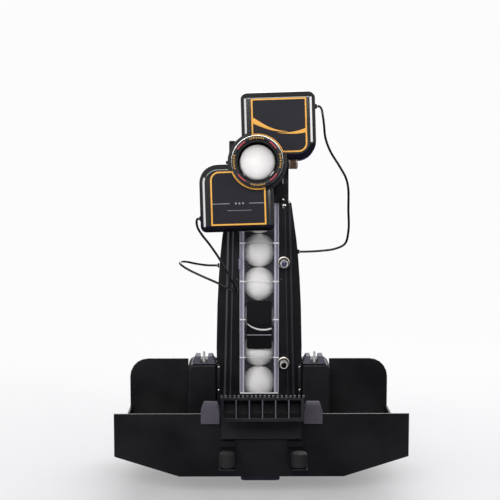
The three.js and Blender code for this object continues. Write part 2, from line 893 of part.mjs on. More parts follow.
function gearPoints(teeth, first, count) {
  const flank = toothAngles(teeth);
  const points = [];
  for (let tooth = 0; tooth < count; tooth += 1) {
    const middle = first + (2 * Math.PI * tooth) / teeth;
    flank.forEach(([radius, angle]) => points.push([radius, middle - angle]));
    [...flank].reverse().forEach(([radius, angle]) => points.push([radius, middle + angle]));
  }
  return points.map(([radius, angle]) => [radius * Math.cos(angle), radius * Math.sin(angle)]);
}

function pinionSolid() {
  const low = columnTop + runningGap;
  const gap = -Math.PI / 2 + Math.PI / pinionTeeth;
  const teeth = prism(polygon(gearPoints(pinionTeeth, gap, pinionTeeth)), "z", low, low + gearThickness);
  const shaft = rod("z", pinionShaft, columnTop - pinionShaftLength, low + gearThickness + fit, smallSides);
  return joined(teeth, shaft);
}

function yawMotorSolid() {
  const middle = wheelPitchRadius + pinionPitchRadius;
  const back = middle + yawMotorBehind;
  const radii = [0, 0, yawMotorCorner, yawMotorCorner];
  const body = prism(
    roundedRectangle(-yawMotorHalf, columnBackBehind + fit, yawMotorHalf, back, radii),
    "z", columnTop - yawMotorHeight, columnTop,
  );
  const holeFoot = columnTop - pinionShaftLength - runningGap;
  const hole = rod("z", pinionShaft + fit, holeFoot, columnTop + overrun, smallSides);
  return cut(body, hole.translate([0, middle, 0])).translate([0, channelY, 0]);
}

// The turning platform: a ring on the column's top, the gear sector at its back, and two lugs for the fork
function platformSolid() {
  const low = columnTop + fit;
  const ring = rod("z", platformRadius, low, low + platformHeight);
  const collar = rod("z", collarRadius, low, collarTop);
  const lugs = sides.map(([, side]) => block(
    Math.min(side * lugInner, side * lugOuter), Math.max(side * lugInner, side * lugOuter),
    -lugHalfDepth, lugHalfDepth, low + platformHeight / 2, lugTop,
  ));
  const feet = sides.map(([, side]) => block(
    Math.min(side * lugInner, side * lugOuter), Math.max(side * lugInner, side * lugOuter),
    -lugFootDepth, 0, low, low + platformHeight,
  ));
  const webOuter = lugOuter - forkThickness - fit;
  const webs = sides.map(([, side]) => block(
    Math.min(side * lugInner, side * webOuter), Math.max(side * lugInner, side * webOuter),
    -lugHalfDepth, webThickness - lugHalfDepth, lugTop - overrun, lugTop + webRise,
  ));
  const halfTeeth = Math.floor((sectorHalfAngle / 360) * wheelTeeth);
  const first = Math.PI / 2 - (2 * Math.PI * halfTeeth) / wheelTeeth;
  const sector = prism(
    polygon([[0, 0], ...gearPoints(wheelTeeth, first, 2 * halfTeeth + 1)]),
    "z", columnTop + runningGap, columnTop + runningGap + gearThickness,
  );
  const bore = rod("z", guideRadius, low - overrun, lugTop + webRise + overrun);
  return cut(joined(ring, collar, ...lugs, ...feet, ...webs, sector), bore);
}

// The fork's arms: tall plates that stand on the lugs, wider at the foot than at the top
function forkSolid(side) {
  const outer = side * lugOuter;
  const inner = side * (lugOuter - forkThickness);
  const top = pivotHeight + forkAbovePivot;
  const shape = polygon([
    [-lugHalfDepth, lugTop + fit], [lugHalfDepth, lugTop + fit], [forkHalfDepth, pivotHeight],
    [forkHalfDepth, top - forkCorner], [forkHalfDepth - forkCorner, top], [forkCorner - forkHalfDepth, top],
    [-forkHalfDepth, top - forkCorner], [-forkHalfDepth, pivotHeight],
  ]);
  const plate = prism(shape, "x", Math.min(inner, outer), Math.max(inner, outer));
  const hole = rod("x", pivotShank + fit, -lugOuter - overrun, lugOuter + overrun, smallSides);
  return cut(plate, hole.translate([0, 0, pivotHeight]));
}

// The pins that the elbow tips on: a plain bolt on the left and the elevation lock on the right. The bolt
// enters the elbow, and the lock presses on the elbow's own pin inside the fork arm.
const trunnionFace = lugOuter - forkThickness - fit;

function pivotBoltSolid() {
  const seat = lugOuter + fit;
  const end = trunnionFace - trunnionHoleDepth + fit;
  return turned([
    [0, -seat - boltHeadLength], [boltHead - knobChamfer, -seat - boltHeadLength],
    [boltHead, -seat - boltHeadLength + knobChamfer], [boltHead, -seat], [pivotShank, -seat],
    [pivotShank, -end], [0, -end],
  ], "x", smallSides);
}

function lockKnobSolid() {
  const seat = lugOuter + fit;
  const end = seat + lockKnobLength;
  const start = trunnionFace + trunnionPinLength + fit;
  const core = lockKnobRadius - lockKnobRidge;
  const knob = turned([
    [0, start], [pivotShank, start], [pivotShank, seat], [core, seat],
    [core, end - knobChamfer], [core - knobChamfer, end], [0, end],
  ], "x", smallSides);
  const ridged = [];
  for (let point = 0; point < 2 * lockKnobRidges; point += 1) {
    const radius = point % 2 ? lockKnobRadius : core - lockKnobRidge;
    const angle = (Math.PI * point) / lockKnobRidges;
    ridged.push([radius * Math.cos(angle), radius * Math.sin(angle)]);
  }
  return joined(knob, prism(polygon(ridged), "x", seat + knobChamfer, end - 2 * knobChamfer));
}

// The elbow turns the ball from the column into the throat
function elbowSolid() {
  const outer = joined(
    sphere(elbowRadius), rod("y", elbowRadius, -elbowFront, 0),
    rod("x", trunnionRadius, -trunnionFace, trunnionFace, smallSides),
    rod("x", pivotShank, 0, trunnionFace + trunnionPinLength, smallSides),
  );
  const holeEnd = trunnionHoleDepth - trunnionFace;
  const hole = rod("x", pivotShank + fit, -trunnionFace - overrun, holeEnd, smallSides);
  return cut(
    outer,
    sphere(guideRadius), rod("y", guideRadius, -elbowFront - overrun, 0),
    block(
      -elbowRadius - overrun, elbowRadius + overrun, -elbowCutFront, elbowRadius + overrun,
      -elbowRadius - overrun, -elbowCutBelow,
    ),
    hole,
  );
}

// The throat: a tube round the ball's path, with slots for the wheels, and a thicker sleeve in front that
// carries both wheel housings
function throatSolid() {
  const slotHalf = throwRadius + slotSpare;
  const slotWidth = throwWidth / 2 + slotSpare;
  return cut(
    joined(
      rod("y", sleeveRadius, -headFront + fit, -headBack),
      rod("y", throatRadius, -headFront + fit, -throatBack),
    ),
    rod("y", guideRadius, -headFront - overrun, -throatBack + overrun),
    rod("y", elbowRadius + fit, -elbowFront - fit, -throatBack + overrun),
    block(
      -slotWidth, slotWidth, -throwBehind - slotHalf, -throwBehind + slotHalf,
      -sleeveRadius - overrun, sleeveRadius + overrun,
    ),
  );
}

function ringSolid() {
  const back = -headFront - fit;
  return turned([
    [ringHole, -ringFront], [ringRadius - ringEdge, -ringFront], [ringRadius, -ringFront + ringEdge],
    [ringRadius, back - ringSkirtDepth], [ringSkirt, back - ringSkirtDepth + ringEdge], [ringSkirt, back],
    [guideRadius, back], [guideRadius, -ringFront + ringHoleTaper], [ringHole, -ringFront],
  ], "y");
}

// One wheel housing: a box with rounded edges that hugs the throat, split into a front shell and a back cover
function housingSolid() {
  const outer = prism(roundedRectangle(
    housingInner, housingNear, housingOuter, housingFar,
    [housingSmallCorner, housingLargeCorner, housingSmallCorner, housingSmallCorner],
  ), "y", -headFront, -headBack, housingBevel);
  const inset = housingWall;
  const cornerRoom = housingLargeCorner - inset;
  const room = cut(
    prism(roundedRectangle(
      housingInner + inset, housingNear + inset, housingOuter - inset, housingFar - inset,
      [housingSmallCorner - inset, cornerRoom, housingSmallCorner - inset, housingSmallCorner - inset],
    ), "y", -headFront + inset, -headBack - inset, housingSmallCorner - inset - fit, 1),
    rod("y", sleeveRadius + fit + inset, -headFront - overrun, -headBack + overrun),
  );
  const slotHalf = throwRadius + slotSpare;
  const slotWidth = throwWidth / 2 + slotSpare;
  return cut(
    outer, room,
    rod("y", sleeveRadius + fit, -headFront - overrun, -headBack + overrun),
    block(-slotWidth, slotWidth, -throwBehind - slotHalf, -throwBehind + slotHalf, 0, throwOffset),
  );
}

function housingPart(whole, from, to) {
  const reach = 2 * housingFar;
  return whole.intersect(block(-reach, reach, from, to, -reach, reach));
}

function plateSolid(shift) {
  const plate = prism(roundedRectangle(
    plateInner - shift, plateNear, plateOuter - shift, plateFar,
    [plateSmallCorner, plateLargeCorner, plateSmallCorner, plateSmallCorner],
  ), "y", -headFront - fit - plateThickness, -headFront - fit);
  return cut(plate, rod("y", ringSkirt + plateArcGap, -headFront - 2 * overrun, -headFront + overrun));
}

// A throwing wheel with its shaft, along the motor's axis
function throwWheelSolid() {
  const half = throwWidth / 2;
  return turned([
    [0, -half + throwDish], [throwHub, -half + throwDish], [throwHub + throwDish, -half],
    [throwRadius - throwCrown, -half], [throwRadius, -half + throwCrown], [throwRadius, half - throwCrown],
    [throwRadius - throwCrown, half], [throwHub + throwDish, half], [throwHub, half - throwDish],
    [throwShaft, half - throwDish], [throwShaft, motorStart - fit], [0, motorStart - fit],
  ], "x").translate([0, -throwBehind, throwOffset]);
}

function throwMotorSolid() {
  const end = housingOuter - housingWall - fit;
  const shoulder = motorStart + motorNoseLength;
  return turned([
    [0, motorStart], [motorNose, motorStart], [motorNose, shoulder],
    [motorRadius - knobChamfer, shoulder], [motorRadius, shoulder + knobChamfer],
    [motorRadius, end - knobChamfer], [motorRadius - knobChamfer, end], [0, end],
  ], "x", smallSides).translate([0, -throwBehind, throwOffset]);
}

function glandSolid(start) {
  return turned([
    [0, start], [glandRadius, start], [glandRadius, start + glandLength / 2], [glandTip, start + glandLength],
    [0, start + glandLength],
  ], "x", smallSides);
}

// A cord: a round section drawn along a smooth curve through its points
function cordSolid(points) {
  const curve = new THREE.CatmullRomCurve3(points.map(([x, y, z]) => new THREE.Vector3(x, y, z)));
  const section = new THREE.Shape();
  section.absarc(0, 0, cordDiameter / 2, 0, 2 * Math.PI, false);
  return solidOf(new THREE.ExtrudeGeometry(section, {
    steps: cordSteps, curveSegments: cordSides, extrudePath: curve, bevelEnabled: false,
  }));
}

// The pieces that stay still
place(base, "edge_hook", hookSolid(), finishes.blackSatin);
place(base, "hopper", hopperSolid(), finishes.blackSatin);
for (const [name, side] of sides) {
  place(base, `edge_pad_${name}`, padSolid(side), finishes.greyPad);
  place(base, `support_arm_${name}`, armSolid(side), finishes.blackSatin);
  place(base, `arm_tip_${name}`, tipSolid(side), finishes.rubber);
  place(base, `hub_${name}`, hubSolid(side), finishes.blackSatin);
  place(base, `pole_socket_${name}`, socketSolid(side), finishes.greyPad);
  place(base, `socket_pin_${name}`, socketPinSolid(side), finishes.steel);
  place(base, `rail_${name}`, railSolid(side), finishes.blackSatin);
  const height = columnGlandHeights[name];
  const start = Math.max(columnHalfAt(height - glandRadius), columnHalfAt(height + glandRadius)) + fit;
  const gland = side > 0 ? glandSolid(start) : glandSolid(start).rotate([0, 0, 180]);
  place(base, `column_gland_${name}`, gland, finishes.blackSatin)
    .position.set(0, channelY + columnGlandBehind, height);
}
place(base, "column_shell", columnShellSolid(), finishes.blackSatin);
place(base, "channel_cover", coverSolid(), finishes.clear);
place(base, "cover_label", labelSolid(), finishes.darkPlate);
["upper", "lower"].forEach((name, index) => {
  place(base, `cover_knob_${name}`, coverKnobSolid(), finishes.steel)
    .position.set(knobX, 0, knobHeights[index]);
});
const columnBallCount = 7;
for (let ball = 0; ball < columnBallCount; ball += 1) {
  const height = floorTop + fit + ballRadius + ball * (ballDiameter + fit);
  place(base, `column_ball_${ball + 1}`, sphere(ballRadius, ballSides, ballRings), finishes.whiteBall)
    .position.set(0, channelY, height);
}
place(base, "feed_disc", feedDiscSolid(), finishes.greyPad).position.y = feedY;
place(base, "feed_motor", feedMotorSolid(), finishes.blackSatin).position.y = feedY;
place(base, "control_box", controlBoxSolid(), finishes.blackSatin);
const rocker = place(base, "power_switch", switchSolid(), finishes.blackGloss);
rocker.position.set(0, columnBackY + fit + boxDepth, switchZ);
rocker.rotation.x = -THREE.MathUtils.degToRad(switchTilt);
place(base, "power_inlet", inletSolid(), finishes.blackGloss);
place(base, "yaw_motor", yawMotorSolid(), finishes.blackSatin);
const pinion = place(base, "yaw_pinion", pinionSolid(), finishes.steel);
pinion.position.y = channelY + wheelPitchRadius + pinionPitchRadius;
pinion.rotation.z = -THREE.MathUtils.degToRad(restYaw) * (wheelTeeth / pinionTeeth);

// The pieces that turn from side to side
place(yawGroup, "yaw_platform", platformSolid(), finishes.blackSatin);
for (const [name, side] of sides) place(yawGroup, `fork_arm_${name}`, forkSolid(side), finishes.blackSatin);
place(yawGroup, "pivot_bolt", pivotBoltSolid(), finishes.steel).position.z = pivotHeight;
place(yawGroup, "lock_knob", lockKnobSolid(), finishes.brass).position.z = pivotHeight;

// The pieces that tip, and those that also roll
place(pitchGroup, "elbow", elbowSolid(), finishes.blackSatin);
place(rollGroup, "throat_tube", throatSolid(), finishes.blackSatin);
place(rollGroup, "mouth_ring", ringSolid(), finishes.blackSatin);
place(rollGroup, "mouth_ball", sphere(ballRadius, ballSides, ballRings), finishes.whiteBall)
  .position.set(0, -mouthBallAhead, fit - guideClearance);

// The two wheel units are alike: the lower one is the upper one turned half round the ball's path. Its plate
// sits a little off to the side.
const whole = housingSolid();
for (const [name, turn, shift] of [["upper", 0, 0], ["lower", Math.PI, lowerPlateShift]]) {
  const unit = new THREE.Group();
  unit.rotation.y = turn;
  rollGroup.add(unit);
  place(unit, `${name}_housing`, housingPart(whole, -headFront - overrun, -headSplit), finishes.blackGloss);
  place(unit, `${name}_back`, housingPart(whole, -headSplit + fit, overrun), finishes.blackSatin);
  place(unit, `${name}_plate`, plateSolid(shift), finishes.darkPlate);
  place(unit, `${name}_wheel`, throwWheelSolid(), finishes.redRubber);
  place(unit, `${name}_motor`, throwMotorSolid(), finishes.steel);
  place(unit, `${name}_gland`, glandSolid(housingOuter + fit), finishes.blackSatin)
    .position.set(0, -throwBehind, housingGlandHeight);
}

// The two motor cords
place(base, "upper_cord", cordSolid(upperCordPoints), finishes.cord);
place(base, "lower_cord", cordSolid(lowerCordPoints), finishes.cord);

export default robot;
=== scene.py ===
# %% [markdown]
# # Dressing a table tennis robot
# The robot hangs by a hook and throws balls forwards. Its solids, sizes and joints come from the packed
# frame, in metres, with +X to the right as seen from in front, +Y to the back and +Z up. This lesson opens
# that frame, sets up the camera, and then gives each piece its real surface, one at a time.

# %% Open the frame
import json
import math

import bmesh
import bpy
from mathutils import Matrix, Vector


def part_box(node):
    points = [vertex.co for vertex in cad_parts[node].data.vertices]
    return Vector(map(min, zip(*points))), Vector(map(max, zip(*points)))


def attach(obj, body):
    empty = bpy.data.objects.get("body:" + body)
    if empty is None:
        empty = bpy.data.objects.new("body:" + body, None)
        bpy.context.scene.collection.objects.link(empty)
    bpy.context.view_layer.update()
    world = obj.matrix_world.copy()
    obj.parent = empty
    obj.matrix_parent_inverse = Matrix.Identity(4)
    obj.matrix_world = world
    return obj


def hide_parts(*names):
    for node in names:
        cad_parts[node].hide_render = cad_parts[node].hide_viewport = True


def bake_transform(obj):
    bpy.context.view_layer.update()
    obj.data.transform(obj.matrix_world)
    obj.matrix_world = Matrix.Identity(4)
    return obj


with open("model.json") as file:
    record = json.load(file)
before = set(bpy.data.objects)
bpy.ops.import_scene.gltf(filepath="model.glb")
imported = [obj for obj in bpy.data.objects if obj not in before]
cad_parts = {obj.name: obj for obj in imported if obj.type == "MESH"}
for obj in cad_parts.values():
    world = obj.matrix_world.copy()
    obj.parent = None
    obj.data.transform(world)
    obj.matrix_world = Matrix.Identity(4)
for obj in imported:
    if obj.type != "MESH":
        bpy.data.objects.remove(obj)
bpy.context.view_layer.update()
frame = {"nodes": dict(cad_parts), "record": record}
mm = 0.001
print("frame nodes", len(frame["nodes"]))

# %% [markdown]
# The first choice is where the camera stands. It could be set by eye, but the sizes of the balls and the
# hook in the picture give its distance, height and tilt: a long lens, about 1.2 metres in front of the hook
# and 30 cm above its underside, tilted 6 degrees down. The camera is aimed with a plain rotation and has no
# lens shift.

# %% Place the camera
camera_data = bpy.data.cameras.new("photo_camera")
camera_data.sensor_width = 36
camera_data.lens = 84.14
camera = bpy.data.objects.new("photo_camera", camera_data)
tilt_down_degrees = 6.073
turn_right_radians = 0.0086
camera.location = (-22.8 * mm, -1189 * mm, 300.5 * mm)
camera.rotation_euler = (math.radians(90 - tilt_down_degrees), 0, -turn_right_radians)
bpy.context.collection.objects.link(camera)
bpy.context.scene.camera = camera
print("lens", round(camera_data.lens, 1))

# %% [markdown]
# ## Small tools
# Colours are measured from the picture as 0 to 255 values on a screen. Blender mixes light, so a helper
# turns them into linear values. Another helper makes an object from points and faces, with a finish, a body
# to ride on and smooth shading that stops at sharp corners.  Modifiers could do most of this, but points
# and faces keep the exact measures. A last helper hides the frame's node that a piece stands for.

# %% Define the colour and mesh helpers
def paint(red, green, blue):
    linear = []
    for value in (red, green, blue):
        share = value / 255
        linear.append(share / 12.92 if share <= 0.04045 else ((share + 0.055) / 1.055) ** 2.4)
    return (*linear, 1)


def smooth(piece, angle=35):
    for face in piece.data.polygons:
        face.use_smooth = True
    piece.data.set_sharp_from_angle(angle=math.radians(angle))


def add_piece(name, mesh, work, material, angle, body):
    work.to_mesh(mesh)
    work.free()
    mesh.materials.clear()
    mesh.materials.append(material)
    piece = bpy.data.objects.new(name, mesh)
    bpy.context.collection.objects.link(piece)
    smooth(piece, angle)
    if body:
        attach(piece, body)
    return piece


def dress(piece, node=None):
    if node:
        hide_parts(node)


def made(name, points, faces, body, material, angle=35, place=Matrix.Identity(4)):
    mesh = bpy.data.meshes.new(name)
    mesh.from_pydata([place @ Vector(point) for point in points], [], faces)
    work = bmesh.new()
    work.from_mesh(mesh)
    bmesh.ops.recalc_face_normals(work, faces=work.faces)
    return add_piece(name, mesh, work, material, angle, body)


print("black", [round(value, 4) for value in paint(30, 30, 34)])

# %% [markdown]
# Nodes could be added and linked one call at a time. Every material below needs the same steps, so two
# helpers take them: one fills a node's sockets with values or links, and one adds a node first.

# %% Define the helpers for shader nodes
def fill(tree, node, values=(), sources=()):
    for label, value in dict(values).items():
        node.inputs[label].default_value = value
    for label, source in dict(sources).items():
        tree.links.new(source, node.inputs[label])
    return node


def add_node(tree, kind, values=(), sources=(), **settings):
    node = tree.nodes.new(kind)
    for setting, value in settings.items():
        setattr(node, setting, value)
    return fill(tree, node, values, sources)


def new_material(name):
    material = bpy.data.materials.new(name)
    material.use_nodes = True
    return material, material.node_tree


print("materials so far", len(bpy.data.materials))

# %% [markdown]
# ## Shared surface effects
# Moulded plastic is never perfectly even. It has a fine grain from the mould, and wide, soft patches where
# hands have polished it. An image could hold both, but noise fits any shape without unwrapping it. The two
# are made once, as a node group with named inputs, and every material below uses it with its own values.
# The group puts out a height for the bump, and a mask that the colour and roughness read.

# %% Build the node group for moulded surfaces
def surface_group():
    tree = bpy.data.node_groups.new("moulded_surface", "ShaderNodeTree")
    sockets = tree.interface
    for label, value in (("Grain size", 900), ("Patch size", 18)):
        sockets.new_socket(label, in_out="INPUT", socket_type="NodeSocketFloat").default_value = value
    for label in ("Height", "Patches"):
        sockets.new_socket(label, in_out="OUTPUT", socket_type="NodeSocketFloat")
    start = add_node(tree, "NodeGroupInput")
    end = add_node(tree, "NodeGroupOutput")
    where = add_node(tree, "ShaderNodeTexCoord")
    fields = (("Grain size", 2, 0.3, 0.7), ("Patch size", 3, 0.35, 0.65))
    for index, (label, detail, lowest, highest) in enumerate(fields):
        noise = add_node(tree, "ShaderNodeTexNoise", {"Detail": detail},
                         {"Vector": where.outputs["Object"], "Scale": start.outputs[label]})
        spread = add_node(tree, "ShaderNodeMapRange", {"From Min": lowest, "From Max": highest},
                          {"Value": noise.outputs["Fac"]})
        tree.links.new(spread.outputs["Result"], end.inputs[index])
    return tree


moulded = surface_group()
print("group sockets", len(moulded.interface.items_tree))

# %% [markdown]
# A finish is a Principled shader with two nearby colours and two nearby roughness values, mixed by the
# group's mask, and a small bump from its height. One flat colour would be simpler, but it looks like a toy
# in soft light. Values that are the same all over are set on the sockets themselves.

# %% Define how a finish is made
def finish(name, dark, light, rough, grain=900, bump=0.15, metallic=0, coat=0, patch=18, shine=0.5,
           mirror=1.5):
    material, tree = new_material(name)
    group = add_node(tree, "ShaderNodeGroup", {"Grain size": grain, "Patch size": patch}, node_tree=moulded)
    patches = group.outputs["Patches"]
    mix = add_node(tree, "ShaderNodeMix", {"A": paint(*dark), "B": paint(*light)}, {"Factor": patches},
                   data_type="RGBA")
    spread = add_node(tree, "ShaderNodeMapRange", {"To Min": rough[0], "To Max": rough[1]},
                      {"Value": patches})
    raised = add_node(tree, "ShaderNodeBump", {"Strength": bump, "Distance": 0.2 * mm},
                      {"Height": group.outputs["Height"]})
    fill(tree, tree.nodes["Principled BSDF"], {
        "Metallic": metallic, "Coat Weight": coat, "Coat Roughness": 0.06, "Coat IOR": mirror,
        "Specular IOR Level": shine,
    }, {
        "Base Color": mix.outputs["Result"], "Roughness": spread.outputs["Result"],
        "Normal": raised.outputs["Normal"],
    })
    return material


print("moulded group", moulded.name)

# %% [markdown]
# Nearly all of the robot is black plastic, and the pieces differ only in how they shine. The column and the
# frame are satin, the hook is a little paler and worn, and the wheel housings are polished like a piano.
# Their gloss comes from a clear coat with a strong edge reflection, because the coat mirrors sharply while
# the plastic under it stays dark.

# %% Mix the black plastics
satin_black = finish("satin_black", (12, 12, 16), (20, 20, 25), (0.32, 0.44), grain=1500, shine=0.35)
frame_black = finish("frame_black", (12, 12, 15), (19, 19, 23), (0.36, 0.5), grain=1200, shine=0.35)
hook_black = finish("hook_black", (20, 20, 24), (30, 30, 35), (0.32, 0.46), grain=1200, shine=0.5)
gloss_black = finish("gloss_black", (8, 8, 11), (13, 13, 17), (0.12, 0.18), grain=400, bump=0.01, coat=1,
                     mirror=1.85)
print("gloss coat", gloss_black.name)

# %% [markdown]
# The films on the housings and the sticker on the cover are dark and nearly dull. What is printed on them
# is thin ink, gold, red, grey or white. The inks could be painted in one image, but as finishes of their
# own they can be laid on as thin ribbons with sharp edges.

# %% Mix the films and prints
plate_film = finish("plate_film", (29, 27, 35), (35, 33, 42), (0.45, 0.58), grain=2600, shine=0.2)
label_film = finish("label_film", (8, 8, 11), (13, 13, 17), (0.3, 0.4), grain=2200, shine=0.3)
gold_print = finish("gold_print", (238, 168, 52), (250, 188, 78), (0.4, 0.55), grain=2400, bump=0.05)
red_print = finish("red_print", (158, 28, 48), (186, 52, 72), (0.4, 0.5), grain=2400, bump=0.05)
grey_print = finish("grey_print", (140, 138, 146), (170, 168, 176), (0.4, 0.5), grain=2400, bump=0.05)
white_print = finish("white_print", (216, 214, 212), (234, 232, 230), (0.4, 0.5), grain=2400, bump=0.05)
print("printed colours", 4)

# %% [markdown]
# The pads beside the hook and the sockets on the hubs are grey plastic with a coarse grain, which hides
# scratches. The arm tips and glands are soft black rubber, and the throwing wheels are dark red. Rubber
# scatters light, so it gets a high roughness and a stronger bump.

# %% Mix the grey plastic and the rubbers
pad_grey = finish("pad_grey", (62, 58, 68), (80, 75, 86), (0.6, 0.78), grain=1100, bump=0.45)
socket_grey = finish("socket_grey", (74, 71, 83), (90, 87, 100), (0.5, 0.65), grain=1300, bump=0.3)
soft_rubber = finish("soft_rubber", (18, 18, 19), (29, 28, 29), (0.72, 0.9), grain=1600, bump=0.5)
wheel_rubber = finish("wheel_rubber", (70, 20, 20), (96, 30, 28), (0.7, 0.85), grain=1400, bump=0.6)
print("last rubber", wheel_rubber.name)

# %% [markdown]
# The small metal parts catch the eye, so each has its own finish. Screws are bright steel, the motors are
# plain cans, and the knobs are knurled steel and dull bronze. Small pale rims in a dark room mirror mostly
# darkness, so those get only a part of the metallic value and keep their pale colour. That pale colour is a
# painted highlight on the washers' rims and at the knob's ends.

# %% Mix the metals
bright_steel = finish("bright_steel", (188, 186, 182), (214, 212, 208), (0.16, 0.3), metallic=1)
satin_steel = finish("satin_steel", (226, 224, 220), (242, 240, 236), (0.36, 0.5), metallic=0.6)
black_steel = finish("black_steel", (30, 29, 31), (46, 44, 47), (0.34, 0.46), metallic=1)
motor_can = finish("motor_can", (120, 120, 124), (150, 150, 152), (0.25, 0.4), metallic=1)
bronze = finish("bronze", (134, 104, 84), (160, 128, 104), (0.32, 0.46), metallic=0.5, grain=1500)
bronze_rim_painted_highlight = finish("bronze_rim_painted_highlight", (224, 198, 180), (240, 218, 202), (0.3, 0.42), metallic=0.6)
steel_rim_painted_highlight = finish("steel_rim_painted_highlight", (204, 196, 184), (226, 218, 206), (0.28, 0.4), metallic=0.7)
dark_steel = finish("dark_steel", (66, 61, 92), (80, 75, 110), (0.25, 0.35))
print("metals end with", dark_steel.name)

# %% [markdown]
# Thin edges on black plastic catch the light and look grey. The ridges, the teeth and the ribs could share
# the black, but then they would vanish at this size, so they get paler finishes: a painted sheen on the
# ridges, and painted highlights on the teeth and on the ribs. The cords have a smooth sheath. The balls
# are white and dull, with very faint patches.

# %% Mix the fine edges, the cords and the balls
# The ridges' paler colour is a painted sheen, standing in for the side lights on their edges.
ridge_painted_sheen = finish("ridge_painted_sheen", (40, 40, 46), (54, 54, 61), (0.3, 0.42), grain=1200)
# Painted glints: the pale, coated caps on the hook's teeth stand in for light on their front edges.
painted_glint_grey = finish("painted_glint_grey", (150, 150, 156), (176, 176, 182), (0.16, 0.26), bump=0.05, coat=1)
# Painted highlights: pale strips on the front edges of the hook's ribs stand in for light on those edges.
rib_painted_highlight = finish("rib_painted_highlight", (66, 65, 72), (88, 87, 94), (0.3, 0.42), grain=1200)
cord_sheath = finish("cord_sheath", (15, 15, 17), (24, 24, 27), (0.2, 0.32), grain=1500, bump=0.05)
ball_white = finish("ball_white", (241, 239, 237), (248, 246, 244), (0.55, 0.66), grain=1800, patch=60,
                    shine=0.2)
print("finishes", len(bpy.data.materials))

# %% [markdown]
# ## The two motor cords
# Each wheel motor has one thin black cord, about 2.7 mm thick. It leaves a tapered gland on the wheel
# housing, hangs in an easy curve and goes back into the column through a second gland. A simulation could
# lay the cords, but it would settle a little differently each time, so the curve is drawn through the
# points that the frame's solids follow. The head turns, tips and rolls, so each cord is cut into three
# stretches, one for each of the three joints.

# %% Describe the two routes
cord_width = 2.7 * mm
upper_route = [
    (64.78, 141.3, 322.22), (66.9, 141.24, 322.2), (69.3, 141.0, 319.6), (71.0, 140.2, 311.6),
    (72.4, 141.0, 301.6), (74.4, 144.0, 286.6), (80.6, 149.6, 271.2), (91.0, 157.0, 255.3),
    (99.9, 165.0, 240.3), (103.4, 172.0, 227.7), (105.0, 185.0, 202.5), (106.4, 197.0, 176.0),
    (103.0, 205.0, 159.6), (91.5, 209.0, 153.2), (75.0, 210.6, 150.6), (58.0, 211.0, 149.6),
    (49.23, 211.0, 149.5),
]
lower_route = [
    (-69.52, 137.11, 195.26), (-71.2, 137.16, 194.9), (-72.2, 137.6, 191.6), (-70.9, 138.4, 184.6),
    (-66.4, 139.4, 176.9), (-58.0, 140.4, 166.0), (-48.3, 141.4, 151.8), (-37.0, 142.4, 132.6),
    (-29.6, 145.0, 118.6), (-26.8, 151.6, 110.4), (-29.6, 159.0, 108.8), (-38.0, 163.6, 112.4),
    (-50.0, 165.6, 118.0), (-68.4, 167.6, 126.0), (-84.6, 170.6, 133.6), (-92.6, 178.0, 138.2),
    (-93.0, 189.0, 140.0), (-86.0, 200.0, 138.6), (-76.0, 207.0, 135.6), (-62.0, 210.8, 133.2),
    (-50.46, 211.0, 133.0),
]
print("route points", len(upper_route), len(lower_route))

# %% [markdown]
# A cord has no corners, so the path between the points is a smooth curve. Blender's own curve types could
# draw it. This one passes exactly through each point, and its tangents take the distance between the points
# into account, so that close points make no loops.

# %% Draw a smooth curve through the points
def curve_through(points, steps=9, least_gap=1e-4):
    knots = [Vector(point) * mm for point in points]
    ends = [2 * knots[0] - knots[1], *knots, 2 * knots[-1] - knots[-2]]
    path = []
    for a, b, c, d in zip(ends, ends[1:], ends[2:], ends[3:]):
        gaps = [max((q - p).length ** 0.5, least_gap) for p, q in ((a, b), (b, c), (c, d))]
        leave = (b - a) / gaps[0] - (c - a) / (gaps[0] + gaps[1]) + (c - b) / gaps[1]
        arrive = (c - b) / gaps[1] - (d - b) / (gaps[1] + gaps[2]) + (d - c) / gaps[2]
        leave, arrive = leave * gaps[1], arrive * gaps[1]
        for step in range(steps):
            t = step / steps
            path.append(
                (2 * t**3 - 3 * t**2 + 1) * b + (t**3 - 2 * t**2 + t) * leave
                + (3 * t**2 - 2 * t**3) * c + (t**3 - t**2) * arrive
            )
    path.append(knots[-1])
    return path


def run_length(path):
    return sum((q - p).length for p, q in zip(path, path[1:]))


for name, route in (("upper cord", upper_route), ("lower cord", lower_route)):
    print(name, round(run_length(curve_through(route)), 3))

# %% [markdown]
# A curve object with a round bevel would make a tube too. Here a circle of points is carried along the
# path, because the ends then close exactly and the mesh can be bent with the joints. The circle is turned
# as little as possible from one step to the next, so that the sheath doesn't twist.

# %% Define a tube
def ring_faces(first, second, count):
    faces = []
    for corner in range(count):
        after = (corner + 1) % count
        faces.append((first + corner, first + after, second + after, second + corner))
    return faces


def tube(name, path, radius, body, material, sides=12):
    points, faces = [], []
    side = None
    for index, spot in enumerate(path):
        ahead = (path[min(index + 1, len(path) - 1)] - path[max(index - 1, 0)]).normalized()
        side = ahead.orthogonal() if side is None else side - ahead * side.dot(ahead)
        side.normalize()
        up = ahead.cross(side)
        for corner in range(sides):
            angle = 2 * math.pi * corner / sides
            points.append(spot + radius * (math.cos(angle) * side + math.sin(angle) * up))
    for ring in range(len(path) - 1):
        faces += ring_faces(ring * sides, (ring + 1) * sides, sides)
    faces += [tuple(range(sides)), tuple(range(len(points) - sides, len(points)))]
    return made(name, points, faces, body, material, angle=50)


print("cord width", cord_width)

# %% [markdown]
# Each cord is cut into three stretches, one for each pair of bodies that it joins. Each stretch is a tube
# of the cord's real width on no body, with its place baked into its points, and the frame's own cord is
# hidden.

